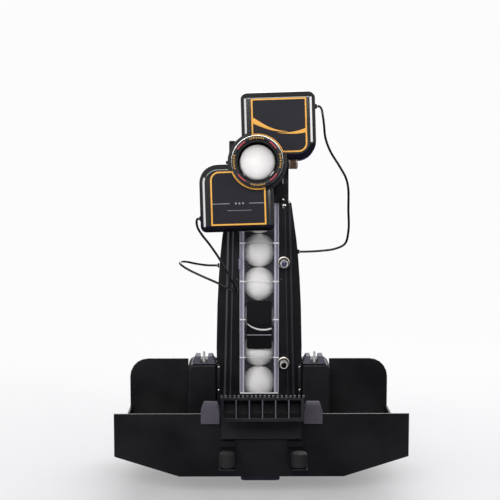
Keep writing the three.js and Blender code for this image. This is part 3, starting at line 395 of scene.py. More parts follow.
# %% Build the cords
def build_cord(name, route, shares):
    path = curve_through(route)
    bodies = [("head", "elbow_body"), ("elbow_body", "turntable"), ("turntable", "frame")]
    cuts = [0, *[round(share * (len(path) - 1)) for share in shares], len(path) - 1]
    for index, (first, second) in enumerate(bodies):
        stretch = path[cuts[index]:cuts[index + 1] + 1]
        piece = tube(f"{name}_stretch_{index + 1}", stretch, cord_width / 2, None, cord_sheath)
        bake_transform(piece)
        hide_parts(name)
        print(piece.name, round(run_length(stretch), 3))


build_cord("upper_cord", upper_route, (0.4, 0.68))
build_cord("lower_cord", lower_route, (0.3, 0.5))

# %% [markdown]
# ## Softened solids
# Real mouldings have small radii on every corner, and those radii catch the light. Most pieces keep the
# frame's shape and only need that. A bevel modifier would do, but the solids come in as triangles, and
# their flat faces have to be merged first. So the helper copies a node, merges its faces, rounds its
# corners by a small width and puts the copy in the node's place. The normals then lean on the widest faces,
# so that these mirror evenly.

# %% Define how a node is softened
nodes_of_body = frame["record"]["behaviour"]["bodies"]
body_of_node = {node: body for body, nodes in nodes_of_body.items() for node in nodes}
merge_distance = 0.002 * mm
flat_within, sharp_beyond = math.radians(0.6), math.radians(24)


def flatten_wide_faces(piece):
    weighting = piece.modifiers.new("wide faces stay flat", "WEIGHTED_NORMAL")
    weighting.mode = "FACE_AREA"
    weighting.weight = 100
    weighting.keep_sharp = True


def round_edges(work, edges, width):
    bmesh.ops.bevel(work, geom=edges, offset=width * mm, segments=2, profile=0.6, affect="EDGES",
                    clamp_overlap=True)


def soften(node, material, width):
    mesh = frame["nodes"][node].data.copy()
    work = bmesh.new()
    work.from_mesh(mesh)
    bmesh.ops.remove_doubles(work, verts=work.verts, dist=merge_distance)
    bmesh.ops.dissolve_limit(work, angle_limit=flat_within, verts=work.verts, edges=work.edges)
    sharp = [
        edge for edge in work.edges
        if len(edge.link_faces) == 2 and edge.calc_face_angle(0) > sharp_beyond
    ]
    round_edges(work, sharp, width)
    bmesh.ops.recalc_face_normals(work, faces=work.faces)
    piece = add_piece(f"soft_{node}", mesh, work, material, 40, body_of_node[node])
    flatten_wide_faces(piece)
    dress(piece, node)


# %% [markdown]
# The still pieces come first: the hook with its ribs, the hopper, the pads, the hubs with their sockets,
# the arms that reach under the hook, the column with its rails, the control box and the motors. A table
# gives each its finish and its radius, because the radius is what tells a thick moulding from a thin one.

# %% Soften the still pieces
def soften_all(rows):
    for nodes, material, width, slot in rows:
        for node in nodes:
            soften(node, material, width)
    print("softened", sum(len(nodes) for nodes, *_ in rows))


soften_all((
    (("edge_hook",), hook_black, 0.35, "satin_black"),
    (("hopper",), frame_black, 0.5, "satin_black"),
    (("edge_pad_left", "edge_pad_right"), pad_grey, 0.8, "grey_plastic"),
    (("hub_left", "hub_right"), frame_black, 3.0, "satin_black"),
    (("pole_socket_left", "pole_socket_right"), socket_grey, 0.6, "grey_plastic"),
    (("socket_pin_left", "socket_pin_right"), satin_steel, 0.2, "steel"),
    (("support_arm_left", "support_arm_right"), satin_black, 0.7, "satin_black"),
    (("arm_tip_left", "arm_tip_right"), soft_rubber, 0.3, "black_rubber"),
    (("column_shell",), satin_black, 0.8, "satin_black"),
    (("rail_left", "rail_right"), satin_black, 1.1, "satin_black"),
    (("control_box",), satin_black, 0.4, "satin_black"),
    (("power_switch",), gloss_black, 0.5, "gloss_black"),
    (("power_inlet",), satin_black, 0.3, "gloss_black"),
    (("yaw_motor",), frame_black, 0.8, "satin_black"),
    (("feed_motor",), motor_can, 0.6, "motor_steel"),
    (("feed_disc",), socket_grey, 0.6, "grey_plastic"),
    (("yaw_pinion",), bright_steel, 0.12, "steel"),
    (("column_gland_left", "column_gland_right"), soft_rubber, 0.25, "satin_black"),
))

# %% [markdown]
# The turning pieces follow: the platform with its gear sector, the fork, the elbow, the throat and what the
# wheel housings hold. They are softened in the same way, and each rides on its own body.

# %% Soften the turning pieces
soften_all((
    (("yaw_platform",), satin_black, 0.3, "satin_black"),
    (("fork_arm_left", "fork_arm_right"), satin_black, 0.6, "satin_black"),
    (("pivot_bolt",), black_steel, 0.3, "steel"),
    (("elbow",), satin_black, 0.4, "satin_black"),
    (("throat_tube",), satin_black, 0.3, "satin_black"),
    (("upper_wheel", "lower_wheel"), wheel_rubber, 0.4, "wheel_rubber"),
    (("upper_motor", "lower_motor"), motor_can, 0.3, "motor_steel"),
    (("upper_gland", "lower_gland"), soft_rubber, 0.25, "satin_black"),
))

# %% [markdown]
# ## Round pieces
# A turned piece is drawn as half of its outline and spun. A screw modifier does the same, but a helper can
# also push the points of a grip in and out, which makes it knurled. It serves the balls, the thumbscrews,
# the knob and the mouth ring.

# %% Define the lathe
points_per_ridge = 4


def lathe(name, profile, place, body, material, sides=48, ridges=0, ridge=0.0, closed=False, angle=40):
    count = ridges * points_per_ridge if ridges else sides
    points, faces = [], []
    for radius, along, *grip in profile:
        for corner in range(count):
            turn = 2 * math.pi * corner / count
            push = ridge * (0.5 - 0.5 * math.cos(turn * ridges)) if ridges and grip else 0
            reach = (radius - push) * mm
            points.append((reach * math.cos(turn), reach * math.sin(turn), along * mm))
    rings = len(profile)
    for ring in range(rings if closed else rings - 1):
        faces += ring_faces(ring * count, (ring + 1) % rings * count, count)
    if not closed:
        faces += [tuple(range(count)), tuple(range((rings - 1) * count, rings * count))]
    return made(name, points, faces, body, material, angle, place)


facing_front = Matrix.Rotation(math.radians(90), 4, "X")
facing_back = Matrix.Rotation(math.radians(-90), 4, "X")
facing_right = Matrix.Rotation(math.radians(90), 4, "Y")


def spot(x, y, z):
    return Matrix.Translation((x * mm, y * mm, z * mm))


print("front is", tuple(round(value) for value in (facing_front @ Vector((0, 0, 1)))))

# %% [markdown]
# The balls are hollow plastic, 40 mm across, made of two halves that are welded together. A plain sphere
# would look like a lamp, so each gets the faint seam of its halves. The seam stands a hair proud and is
# turned a different way on each ball.

# %% Make the balls
ball_radius, seam_rise, seam_width, ball_rings = 19.95, 0.03, 0.03, 48
waiting_balls = 7


def ball(name, node, body, turn):
    low, high = (Vector(corner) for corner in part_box(node))
    middle = (low + high) / 2
    profile = []
    for step in range(1, ball_rings):
        angle = math.pi * step / ball_rings
        proud = seam_rise * math.exp(-((angle - math.pi / 2) / seam_width) ** 2)
        profile.append(((ball_radius + proud) * math.sin(angle), -(ball_radius + proud) * math.cos(angle)))
    place = Matrix.Translation(middle) @ Matrix.Rotation(turn, 4, "X") @ Matrix.Rotation(turn * 1.7, 4, "Y")
    piece = lathe(name, profile, place, body, ball_white, sides=64, angle=60)
    dress(piece, node)


ball("throw_ball", "mouth_ball", "head", 0.6)
for number in range(1, waiting_balls + 1):
    ball(f"waiting_ball_{number}", f"column_ball_{number}", "frame", 0.9 + number * 1.3)
print("balls", waiting_balls + 1)

# %% [markdown]
# ## The head's own frame
# Everything on the head is easier to draw straight: x across, z up and the ball's path along y. Empties
# could carry the tilt, but matrices keep the scene free of helpers. They turn the drawing to the head's
# rest pose: the fork 2 degrees to the side, the pivot on it, and the head 4 degrees up and rolled by 1.8
# degrees. The lower wheel unit is the upper one turned half round.

# %% Set the head's matrices
turned, tipped, rolled = math.radians(-2), math.radians(-4), math.radians(-1.8)
fork_place = spot(0, 207, 0) @ Matrix.Rotation(turned, 4, "Z")
pivot_place = fork_place @ spot(0, 0, 254)
head_place = pivot_place @ Matrix.Rotation(tipped, 4, "X") @ Matrix.Rotation(rolled, 4, "Y")
unit_place = {"upper": head_place, "lower": head_place @ Matrix.Rotation(math.pi, 4, "Y")}
print("mouth points", [round(value, 3) for value in (head_place.to_3x3() @ Vector((0, -1, 0)))])

# %% [markdown]
# The wheel housings are glossy boxes with soft edges, and one of their corners is much wider than the
# others. A bevel would round every corner alike, so the outline is drawn once and shrunk step by step. The
# front edge is a soft bevel with a nearly flat middle, which mirrors the side lights as one pale band. A
# round cutter then takes away the part that hugs the throat.

# %% Define the housing shape
def rounded_outline(left, bottom, right, top, radii, inset=0.0, steps=10):
    corners = (
        (left, bottom, 1, 1, radii[0], 180), (right, bottom, -1, 1, radii[1], 270),
        (right, top, -1, -1, radii[2], 0), (left, top, 1, -1, radii[3], 90),
    )
    outline = []
    for x, z, sx, sz, radius, start in corners:
        for step in range(steps + 1):
            angle = math.radians(start + 90 * step / steps)
            reach = radius - inset
            outline.append((x + sx * radius + reach * math.cos(angle),
                            z + sz * radius + reach * math.sin(angle)))
    return outline


def loft(name, layers, place, body, material, angle=40):
    count = len(layers[0][0])
    points = [(x * mm, y * mm, z * mm) for outline, y in layers for x, z in outline]
    faces = [tuple(range(count)), tuple(range(len(points) - count, len(points)))]
    for layer in range(len(layers) - 1):
        faces += ring_faces(layer * count, (layer + 1) * count, count)
    return made(name, points, faces, body, material, angle, place)


def cut_round(piece, radius, place, length=130):
    cutter = lathe("cutter", [(radius, -length), (radius, 0)], place @ facing_back, None, satin_black, 96)
    carve = piece.modifiers.new("carve", "BOOLEAN")
    carve.operation = "DIFFERENCE"
    carve.solver = "EXACT"
    carve.object = cutter
    shape = bpy.data.meshes.new_from_object(piece.evaluated_get(bpy.context.evaluated_depsgraph_get()))
    piece.modifiers.clear()
    piece.data = shape
    bpy.data.objects.remove(cutter)
    smooth(piece, 40)


housing_box = (-17, 1.1, 66, 77.2)
housing_radii = (7, 21, 7, 7)
throat_cut_radius = 33.8
print("outline points", len(rounded_outline(*housing_box, housing_radii)))

# %% [markdown]
# Each housing is two shells with a thin joint between them: a glossy front with the wide bevel, and a satin
# back with a rounder edge. Both come from the same outline, so that the joint runs evenly all round.

# %% Build the two housings
front_bevel = [
    (0, 6), (0.1, 4.9), (0.4, 4.0), (1.0, 3.2), (1.9, 2.4), (2.9, 1.68), (3.8, 1.12), (4.0, 1.03),
    (6.1, 0.14), (6.3, 0.08), (6.8, 0),
]
small_edge = 0.4


def housing_layers(y_front, y_back, back_edge, front_edge=((0, small_edge), (small_edge, 0)), steps=8):
    layers = [(inset, y_front + drop) for inset, drop in reversed(front_edge)]
    for step in range(steps + 1):
        angle = math.pi / 2 * step / steps
        layers.append((back_edge * (1 - math.cos(angle)), y_back - back_edge * (1 - math.sin(angle))))
    return [(rounded_outline(*housing_box, housing_radii, inset), y) for inset, y in layers]


shells = (
    ("front_shell", housing_layers(-93, -51, small_edge, front_bevel), gloss_black, "housing",
     "gloss_black"),
    ("rear_shell", housing_layers(-50.7, -43, 6), satin_black, "back", "satin_black"),
)
for unit, place in unit_place.items():
    for name, layers, material, node, slot in shells:
        shell = loft(f"{unit}_{name}", layers, place, None, material)
        cut_round(shell, throat_cut_radius, place)
        flatten_wide_faces(shell)
        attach(shell, "head")
        dress(shell, f"{unit}_{node}")
        print(shell.name, len(shell.data.polygons))

# %% [markdown]
# Each housing carries a printed film: dark grey, with a gold line round it that follows the tight lower
# corner and the round of the mouth. An image would blur up close. The line is a flat ribbon instead, laid
# on the film along its own path, which keeps a sharp edge at any size.

# %% Define flat ribbons and plates
ribbon_height = 0.16
shortest_step = 1e-6


def ribbon(name, path, width, front, place, body, material, closed=False):
    count = len(path)
    widths = width if isinstance(width, list) else [width] * count
    left, right = [], []
    for index, (x, z) in enumerate(path):
        before = Vector(path[index - 1] if closed or index else path[0])
        after = Vector(path[(index + 1) % count] if closed or index < count - 1 else path[-1])
        here = Vector((x, z))
        one, two = here - before, after - here
        one = one.normalized() if one.length > shortest_step else two.normalized()
        two = two.normalized() if two.length > shortest_step else one
        out = Vector((-(one + two).y, (one + two).x)).normalized()
        across = max(0.5, out.dot(Vector((-one.y, one.x))))
        half = 0.5 * widths[index] / across
        left.append(here + out * half)
        right.append(here - out * half)
    points = []
    for depth in (front, front + ribbon_height):
        for side in (left, right):
            points += [(spot_on.x * mm, depth * mm, spot_on.y * mm) for spot_on in side]
    faces = []
    for index in range(count if closed else count - 1):
        after = (index + 1) % count
        for a, b in ((0, 1), (1, 3), (3, 2), (2, 0)):
            faces.append((a * count + index, a * count + after, b * count + after, b * count + index))
    if not closed:
        for index in (0, count - 1):
            faces.append((index, count + index, 3 * count + index, 2 * count + index))
    dress(made(name, points, faces, body, material, 30, place))


print("ribbon height", ribbon_height)

# %% [markdown]
# The film's outline has a straight top and sides, one tight lower corner and a hollow round that follows
# the mouth. It is drawn from measured edges, and an inset moves all of them inwards for the line.

# %% Draw the film's outline
def arc(radius, first, last, steps=24):
    angles = [math.radians(first + (last - first) * step / steps) for step in range(steps + 1)]
    return [(radius * math.cos(angle), radius * math.sin(angle)) for angle in angles]


film_left, film_right, film_low, film_high = -5.5, 56.1, 9.5, 69.9
film_mouth_radius, film_corner_radius = 29.4, 10
film_corner_x, film_corner_z = 46.1, 19.5


def film_outline(inset, shift=0.0):
    left, right = film_left + inset - shift, film_right - inset - shift
    low, high = film_low + inset, film_high - inset
    reach = film_mouth_radius + inset
    start = math.degrees(math.asin(low / reach))
    stop = math.degrees(math.acos(left / reach))
    round_off = film_corner_radius - inset
    corner = [
        (film_corner_x - shift + round_off * x, film_corner_z + round_off * z)
        for x, z in arc(1, 360, 270, 10)
    ]
    return [(left, high), (right, high), *corner, *arc(reach, start, stop)]


print("film line", len(film_outline(1)), "points")

# %% [markdown]
# The film itself is a thin plate with the same outline. It stands in for the frame's plate, and the line
# runs just inside its edge. The lower film sits 2.6 mm further over, as it does in the picture.

# %% Lay the films and their gold lines
def plate(name, outline, front, back, place, body, material, node):
    layers = [(outline, front), (outline, back)]
    dress(loft(name, layers, place, body, material, 30), node)


film_front, film_back = -94.1, -93.05
line_front, stripe_front = film_front - 0.14, film_front - 0.12
line_inset, line_width = 0.95, 1.7
unit_shift = {"upper": 0, "lower": 2.6}
for unit, place in unit_place.items():
    shift = unit_shift[unit]
    plate(f"{unit}_film", film_outline(0, shift), film_front, film_back, place, "head", plate_film,
          f"{unit}_plate")
    ribbon(f"{unit}_film_line", film_outline(line_inset, shift), line_width, line_front, place, "head",
           gold_print, closed=True)
print("film line width", line_width)

# %% [markdown]
# The upper film also has two plain gold stripes that sweep in from the sides and thin out where they meet.
# The lower one has a thin grey rule with three small squares in its middle, and a finer rule under it. A
# sweep is a curve through a few points that also carry a width, so one helper draws every stripe.

# %% Define a swept stripe and a level rule
def sweep(points, steps=8):
    path = []
    ends = [points[0], *points, points[-1]]
    for a, b, c, d in zip(ends, ends[1:], ends[2:], ends[3:]):
        for step in range(steps):
            t = step / steps
            path.append(tuple(
                0.5 * (2 * q + (r - p) * t + (2 * p - 5 * q + 4 * r - s) * t * t
                       + (3 * q - p - 3 * r + s) * t**3)
                for p, q, r, s in zip(a, b, c, d)
            ))
    path.append(tuple(points[-1]))
    return path


def swept_stripe(name, points, front, place, body, material):
    swept = sweep(points)
    path, widths = [(x, z) for x, z, _ in swept], [width for _, _, width in swept]
    ribbon(name, path, widths, front, place, body, material)


def level_rule(name, left, right, height, width, front, place, body):
    ribbon(name, [(left, height), (right, height)], width, front, place, body, grey_print)


print("sweep points", len(sweep([(0, 0, 1), (1, 1, 1)])))

# %% Add the plain stripes
gold_stripes = {
    "long_stripe": [(-4.2, 46.2, 6.0), (5, 41.0, 4.3), (15, 36.4, 2.6), (25, 33.6, 1.3), (35, 32.5, 0.25)],
    "short_stripe": [(55.0, 33.6, 4.6), (48, 31.9, 3.5), (40, 31.0, 2.2), (31, 30.9, 1.0), (23, 31.6, 0.25)],
}
for name, points in gold_stripes.items():
    swept_stripe(f"upper_{name}", points, stripe_front, unit_place["upper"], "head", gold_print)
long_rule_z, short_rule_z = 45.6, 53.4
for name, left, right, height, width in (
    ("rule_right", -6.6, 10.6, long_rule_z, 0.7), ("rule_left", 32.4, 51.9, long_rule_z, 0.7),
    ("mark_1", 16.6, 18.4, long_rule_z, 1.8), ("mark_2", 20.6, 22.4, long_rule_z, 1.8),
    ("mark_3", 24.6, 26.4, long_rule_z, 1.8), ("short_rule", 8.0, 35.0, short_rule_z, 0.4),
):
    level_rule(f"lower_{name}", left, right, height, width, stripe_front, unit_place["lower"], "head")
print("stripes", len(gold_stripes))

# %% [markdown]
# ## The mouth ring
# The ring is a black moulding with a bright edge. Its face has four red bars at the diagonals and small
# gold ticks above, below and at the sides, which show how far the head is rolled. The ring is turned on the
# lathe. The marks are short ribbons on its face, because they are printed and have no depth of their own.

# %% Make the ring and its marks
ring_place = head_place @ facing_front
ring_print_front = -109.2
ring_profile = [
    (21.5, 93.3), (21.5, 104), (22.0, 105.6), (23.5, 108.6), (24.2, 109), (27.5, 109), (28.3, 108.7),
    (28.7, 108), (28.8, 97.5), (28.9, 97), (29.1, 96.6), (29.1, 93.3),
]
ring_edge_profile = [(28.15, 108.6), (28.2, 109.1), (28.55, 109.05), (28.85, 108.7), (28.8, 108.2)]
ring = lathe("mouth_ring_face", ring_profile, ring_place, "head", satin_black, 128, closed=True)
dress(ring, "mouth_ring")
edge = lathe("mouth_ring_edge", ring_edge_profile, ring_place, "head", bright_steel, 128, closed=True)
dress(edge)
bar_radius, bar_width = 25.3, 1.4
for number, (first, last) in enumerate(((32, 56), (120, 147), (212, 238), (-57, -33)), 1):
    ribbon(f"ring_bar_{number}", arc(bar_radius, first, last, 10), bar_width, ring_print_front, head_place,
           "head", red_print)
ticks_each_way, tick_step, tick_width = 4, 4.1, 0.6
long_tick, short_tick = (24.8, 26.9), (25.4, 26.9)
for number in range(4):
    for tick in range(-ticks_each_way, ticks_each_way + 1):
        angle = math.radians(90 * number + tick * tick_step)
        reaches = long_tick if tick % 2 == 0 else short_tick
        path = [(reach * math.cos(angle), reach * math.sin(angle)) for reach in reaches]
        ribbon(f"ring_tick_{number}_{tick + ticks_each_way}", path, tick_width, ring_print_front, head_place,
               "head", gold_print)
print("ring radius", max(reach for reach, _ in ring_profile))

# %% [markdown]
# ## The clear cover
# A shallow clear trough closes the ball channel. Its two flanges look milky, because the light runs along
# them, and four ribs cross it, bright at both ends. The pale rib ends and the pale lip at the cover's foot
# are painted glow. A glass shader would bend the view of the balls, which a thin wall doesn't do. So clear
# plastic is a finish with a low, even alpha and a thin coat, whose reflections grow at the edges.

# %% Make the clear and milky plastics
def clear_plastic(name, colour, alpha, rough):
    material = finish(name, colour, colour, (rough, rough + 0.06), grain=300, bump=0.02, coat=0.5)
    shader = material.node_tree.nodes["Principled BSDF"]
    shader.inputs["Alpha"].default_value = alpha
    return material


clear_alpha = 0.02
clear = clear_plastic("clear_plastic", (226, 226, 238), clear_alpha, 0.06)
milky = clear_plastic("milky_plastic", (150, 146, 168), 0.86, 0.25)
edge_lit = clear_plastic("edge_lit_plastic", (206, 203, 218), 0.95, 0.25)
end_painted_glow = clear_plastic("end_painted_glow_rib", (240, 238, 242), 0.95, 0.3)
rib_clear = clear_plastic("rib_plastic", (226, 224, 236), 0.22, 0.2)
channel_dark = finish("channel_dark", (52, 48, 66), (62, 58, 78), (0.4, 0.55), grain=800, bump=0.1)
print("clear alpha", clear_alpha)

# %% [markdown]
# The trough has the same section all the way up, so the section is drawn once and drawn out to the cover's
# height. The flanges and their bright edges are narrow prisms laid on it. They could be coloured faces of
# one mesh, but as pieces they keep their own finish and sharp borders.

# %% Define a prism and the cover's section
cover_half, cover_wall, cover_front, cover_back, cover_low, cover_high = 23.5, 1.6, 184, 193, -18, 210
thinnest_round = 0.3


def trough_outline(half, front, back, thick, round_edge=2.2, steps=5):
    outer, inner = [], []
    for sign in (-1, 1):
        turns = range(steps + 1) if sign < 0 else range(steps, -1, -1)
        for step in turns:
            angle = math.pi / 2 * step / steps
            for reach, chain in ((round_edge, outer), (max(round_edge - thick, thinnest_round), inner)):
                x = half - round_edge + reach * math.cos(angle)
                chain.append((sign * x, front + round_edge - reach * math.sin(angle)))
    return [(-half, back), *outer, (half, back), (half - thick, back), *reversed(inner),
            (-half + thick, back)]


def prism(name, section, start, end, material, angle=30, node=None):
    points = [((x + shift) * mm, y * mm, z * mm) for shift, z in (start, end) for x, y in section]
    count = len(section)
    faces = [tuple(range(count)), tuple(range(count, 2 * count)), *ring_faces(0, count, count)]
    dress(made(name, points, faces, "frame", material, angle), node)


trough = trough_outline(cover_half, cover_front, cover_back, cover_wall)
print("trough points", len(trough))

# %% Build the cover
prism("clear_trough", trough, (0, cover_low), (0, cover_high), clear, node="channel_cover")
flange_rise = 0.6
both_sides = ((-1, "left"), (1, "right"))
for side, mark in both_sides:
    for name, near, far, front, back, material in (
        ("flange", 17.6, 21.8, 186.1, 187.1, milky), ("inner_edge", 18.1, 19.6, 185.9, 186.0, edge_lit),
        ("outer_edge", 22.3, 23.2, 185.9, 191.5, edge_lit),
    ):
        inner, outer = sorted((side * near, side * far))
        section = [(inner, front), (outer, front), (outer, back), (inner, back)]
        prism(f"cover_{name}_{mark}", section, (0, cover_low + flange_rise), (0, cover_high), material)
tab_section = [(-24.3, 181.3), (-21.2, 181.3), (-21.2, 181.7), (-24.3, 181.7)]
prism("cover_tab", tab_section, (0, 131.6), (0, 144.5), milky)
print("cover height", cover_high - cover_low)

# %% [markdown]
# The ribs, the lip at the foot and the dark lining behind the balls are plain blocks with a small radius. A
# cube that is stretched and rounded is enough for them. The lining is a little violet, as the deep inside
# of the channel is in the picture.

# %% Add the ribs, the lip and the channel's lining
def small_block(name, low, high, material, radius=0.3):
    mesh = bpy.data.meshes.new(name)
    work = bmesh.new()
    bmesh.ops.create_cube(work, size=1)
    middle, size = (Vector(low) + Vector(high)) / 2, Vector(high) - Vector(low)
    for point in work.verts:
        point.co = Vector(c * s + m for c, s, m in zip(point.co, size, middle)) * mm
    round_edges(work, work.edges[:], radius)
    dress(add_piece(name, mesh, work, material, 40, "frame"))


rib_count, top_rib_z, rib_pitch = 4, 162.6, 45.7
rib_half, rib_outer, rib_back = 16.4, 23.3, 184.1
for number in range(rib_count):
    middle = top_rib_z - rib_pitch * number
    for side, mark in both_sides:
        inner, outer = sorted((side * rib_half, side * rib_outer))
        # The pale rib ends are painted glow, for the light that comes out of the clear ribs' ends.
        small_block(f"cover_rib_end_{number}_{mark}", (inner, 183.3, middle - 0.9),
                    (outer, rib_back, middle + 0.9), end_painted_glow)
    small_block(f"cover_rib_{number}", (-rib_half, 183.5, middle - 0.5),
                (rib_half, rib_back, middle + 0.5), rib_clear)
# The pale lip is painted glow along the clear cover's bottom edge.
small_block("cover_lip", (-22.9, 183.2, -18.4), (22.9, 184.2, -16.9), end_painted_glow)
small_block("channel_foot_bar", (-24.5, 184.4, -25.5), (24.5, 185.9, -18.6), frame_black)
small_block("channel_lining", (-20.8, 225.2, -60), (20.8, 226.8, 209), channel_dark)
print("ribs", rib_count)

# %% [markdown]
# A black sticker with rounded corners is stuck to the cover, with a light sweep and a thin rule across it.
# It is made like the films on the housings, so that it has a real edge that can catch the light.

# %% Stick the label on
label_outline = rounded_outline(-14.95, 36.1, 14.95, 94.3, (3, 3, 3, 3))
label_front, label_back, label_print_front = 182.3, 183.1, 182.16
in_place = Matrix.Identity(4)
plate("cover_sticker", label_outline, label_front, label_back, in_place, "frame", label_film, "cover_label")
swept_stripe("sticker_stripe", [(-14.5, 66.6, 0.7), (-8, 62.2, 1.5), (0, 59.6, 1.9), (8, 59.4, 1.9),
                                (14.5, 60.9, 1.7)], label_print_front, in_place, "frame", white_print)
level_rule("sticker_rule", -14.6, 14.6, 53.0, 1.0, label_print_front, in_place, "frame")
print("sticker", len(label_outline))

# %% [markdown]
# ## Thumbscrews and the elevation knob
# Two thumbscrews hold the cover. Each has a dark washer with a pale rim, a painted highlight on its edge, a
# waist, and a pale knurled head with a darker core in its front. They are turned on the lathe, and each part
# that shines differently is a piece of its own.

# %% Turn the thumbscrews
thumbscrew_x = 28.9
for name, height, core_finish in (("upper", 139.7, dark_steel), ("lower", 19.5, black_steel)):
    body = f"{name}_thumbscrew"
    place = spot(thumbscrew_x, 0, height) @ facing_front
    screw = lathe(body, [
        (1.9, -196), (1.9, -183.9), (6.5, -183.9), (6.9, -183.6), (6.9, -182.7), (6.4, -182.5),
        (4.4, -182.4), (3.0, -181.4), (3.0, -179.8),
    ], place, body, black_steel, sides=64)
    dress(screw)
    head = lathe(f"{body}_head", [
        (3.1, -180), (4.2, -179.7), (4.6, -179.0, 1), (4.6, -167.2, 1), (4.4, -166.0), (3.9, -165.7),
        (3.4, -166.0), (3.3, -166.6), (0.6, -166.7),
    ], place, body, satin_steel, ridges=28, ridge=0.35)
    dress(head, f"cover_knob_{name}")
    core = lathe(f"{body}_core", [
        (3.25, -166.75), (3.25, -166.3), (2.7, -166.05), (0.4, -165.95),
    ], place, body, core_finish)
    # The washer's pale rim is a painted highlight on its edge.
    rim = lathe(f"{name}_washer_rim", [
        (5.5, -182.4), (6.9, -182.5), (7.05, -183.0), (7.15, -182.5), (6.8, -181.6), (5.9, -181.3),
    ], place, body, steel_rim_painted_highlight, closed=True)
    for piece in (core, rim):
        dress(piece)
print("thumbscrews at", thumbscrew_x)

# %% [markdown]
# The elevation knob on the fork is a small knurled one of dull bronze, with a pale ring at each end, a
# painted highlight on its rim. The rings could be grooves of the knob, but they shine differently, so they
# are bands of their own.

# %% Turn the elevation knob
knob_place = pivot_place @ facing_right
knob_start, knob_end = 35.5, 46.1
knob = lathe("elevation_knob", [
    (2.4, 31.8), (2.4, knob_start), (4.1, knob_start), (4.5, 35.9), (4.85, 36.6, 1), (4.85, 44.2, 1),
    (4.5, 44.9), (3.9, 45.2), (3.5, 45.9), (2.6, knob_end), (0.5, knob_end),
], knob_place, "elevation_knob", bronze, ridges=22, ridge=0.45)
dress(knob, "lock_knob")
for name, start, reach, length in (("inner", 35.3, 4.7, 2.0), ("outer", 43.6, 4.9, 1.7)):
    # Painted highlights: the pale rings stand in for the light on the knob's two end rims.
    band = lathe(f"elevation_knob_{name}_ring", [
        (reach - 1.2, start), (reach, start), (reach + 0.2, start + 0.4),
        (reach + 0.2, start + length - 0.5), (reach, start + length), (reach - 1.2, start + length),
    ], knob_place, "elevation_knob", bronze_rim_painted_highlight, closed=True)
    dress(band)
print("knob length", round(knob_end - knob_start, 1))

# %% [markdown]
# ## Screws and small fittings
# A real assembly shows how it is held together. A screw is a low domed head with a cross-shaped recess.
# Cutting the cross out of each one would be slow, so the head is built from rings of points, and the points
# along four arms are lowered for the recess.

# %% Define a cross-head screw
dome_share, recess_share, arm_width_share, arm_reach_share = 0.55, 0.6, 0.16, 0.68
middle_drop, foot_depth = 0.75, 0.2


def cross_screw(name, place, body, radius=2.2, rise=1.1, material=bright_steel):
    rings, sides = 10, 48
    points, faces = [(0, 0, (rise - middle_drop * rise) * mm)], []
    for ring in range(1, rings + 1):
        reach = radius * ring / rings
        for corner in range(sides):
            turn = 2 * math.pi * corner / sides
            x, y = reach * math.cos(turn), reach * math.sin(turn)
            height = rise * (1 - dome_share * (reach / radius) ** 2)
            if min(abs(x), abs(y)) < arm_width_share * radius and reach < arm_reach_share * radius:
                height -= recess_share * rise
            points.append((x * mm, y * mm, height * mm))
    for corner in range(sides):
        turn = 2 * math.pi * corner / sides
        points.append((radius * math.cos(turn) * mm, radius * math.sin(turn) * mm, -foot_depth * mm))
        faces.append((0, 1 + corner, 1 + (corner + 1) % sides))
    for ring in range(rings):
        faces += ring_faces(1 + ring * sides, 1 + (ring + 1) * sides, sides)
    faces.append(tuple(1 + rings * sides + corner for corner in range(sides)))
    dress(made(name, points, faces, body, material, 35, place))


print("recess depth share", recess_share)

# %% [markdown]
# The screws sit where the pieces are joined: on the platform, at the top of the column, on its rails, on
# its back, on the backs of the housings and on the control box. The ones on the left and right are placed
# in one loop, because the robot's frame is the same on both sides.

# %% Put the screws in
rail_front, column_back, housing_back, box_back = 185, 236, -43, 262.3
for side, mark in both_sides:
    cross_screw(f"platform_screw_{mark}", fork_place @ spot(side * 27.6, -20, 213.4) @ facing_front,
                "turntable", 2.3)
    for name, x, z, radius, rise, material in (
        ("column", 28.4, 206.4, 3.1, 1.5, bright_steel), ("rail", 26.2, 119.4, 1.0, 0.5, pad_grey),
    ):
        cross_screw(f"{name}_screw_{mark}", spot(side * x, rail_front, z) @ facing_front, "frame", radius,
                    rise, material)
    for height in (50, 100, 160):
        cross_screw(f"column_back_screw_{mark}_{height}",
                    spot(side * 36, column_back, height) @ facing_back, "frame", 2.4)
for unit, place in unit_place.items():
    for number, (x, z) in enumerate(((-9.5, 72.5), (59, 72.5), (56.5, 17), (-9.5, 37)), 1):
        cross_screw(f"{unit}_back_screw_{number}", place @ spot(x, housing_back, z) @ facing_back, "head",
                    2.0, 0.9)
for number, (x, z) in enumerate(((-28, 40), (28, 40), (-28, 144), (28, 144)), 1):
    cross_screw(f"box_screw_{number}", spot(x, box_back, z) @ facing_back, "frame", 2.0, 0.9)

# %% [markdown]
# Behind the riser, a half round guard closes the gap below the elbow. It is a short piece of a thin wall,
# so its section is carried round by 112 degrees in small steps. A whole ring would close the front too.

# %% Close the back of the riser
guard_section = [(25.9, 217.9), (27.5, 217.9), (27.5, 239.2), (26.9, 240), (25.9, 240)]
guard_start, guard_sweep, guard_steps = 34, 112, 24
corners = len(guard_section)
guard_points = []
for step in range(guard_steps + 1):
    angle = math.radians(guard_start + guard_sweep * step / guard_steps)
    for radius, height in guard_section:
        guard_points.append((radius * math.cos(angle) * mm, radius * math.sin(angle) * mm, height * mm))
guard_faces = []
for step in range(guard_steps):
    guard_faces += ring_faces(step * corners, (step + 1) * corners, corners)
guard_faces += [tuple(range(corners)), tuple(range(guard_steps * corners, (guard_steps + 1) * corners))]
guard = made("riser_guard", guard_points, guard_faces, "turntable", satin_black, 35, fork_place)
dress(guard)
print("guard faces", len(guard_faces))

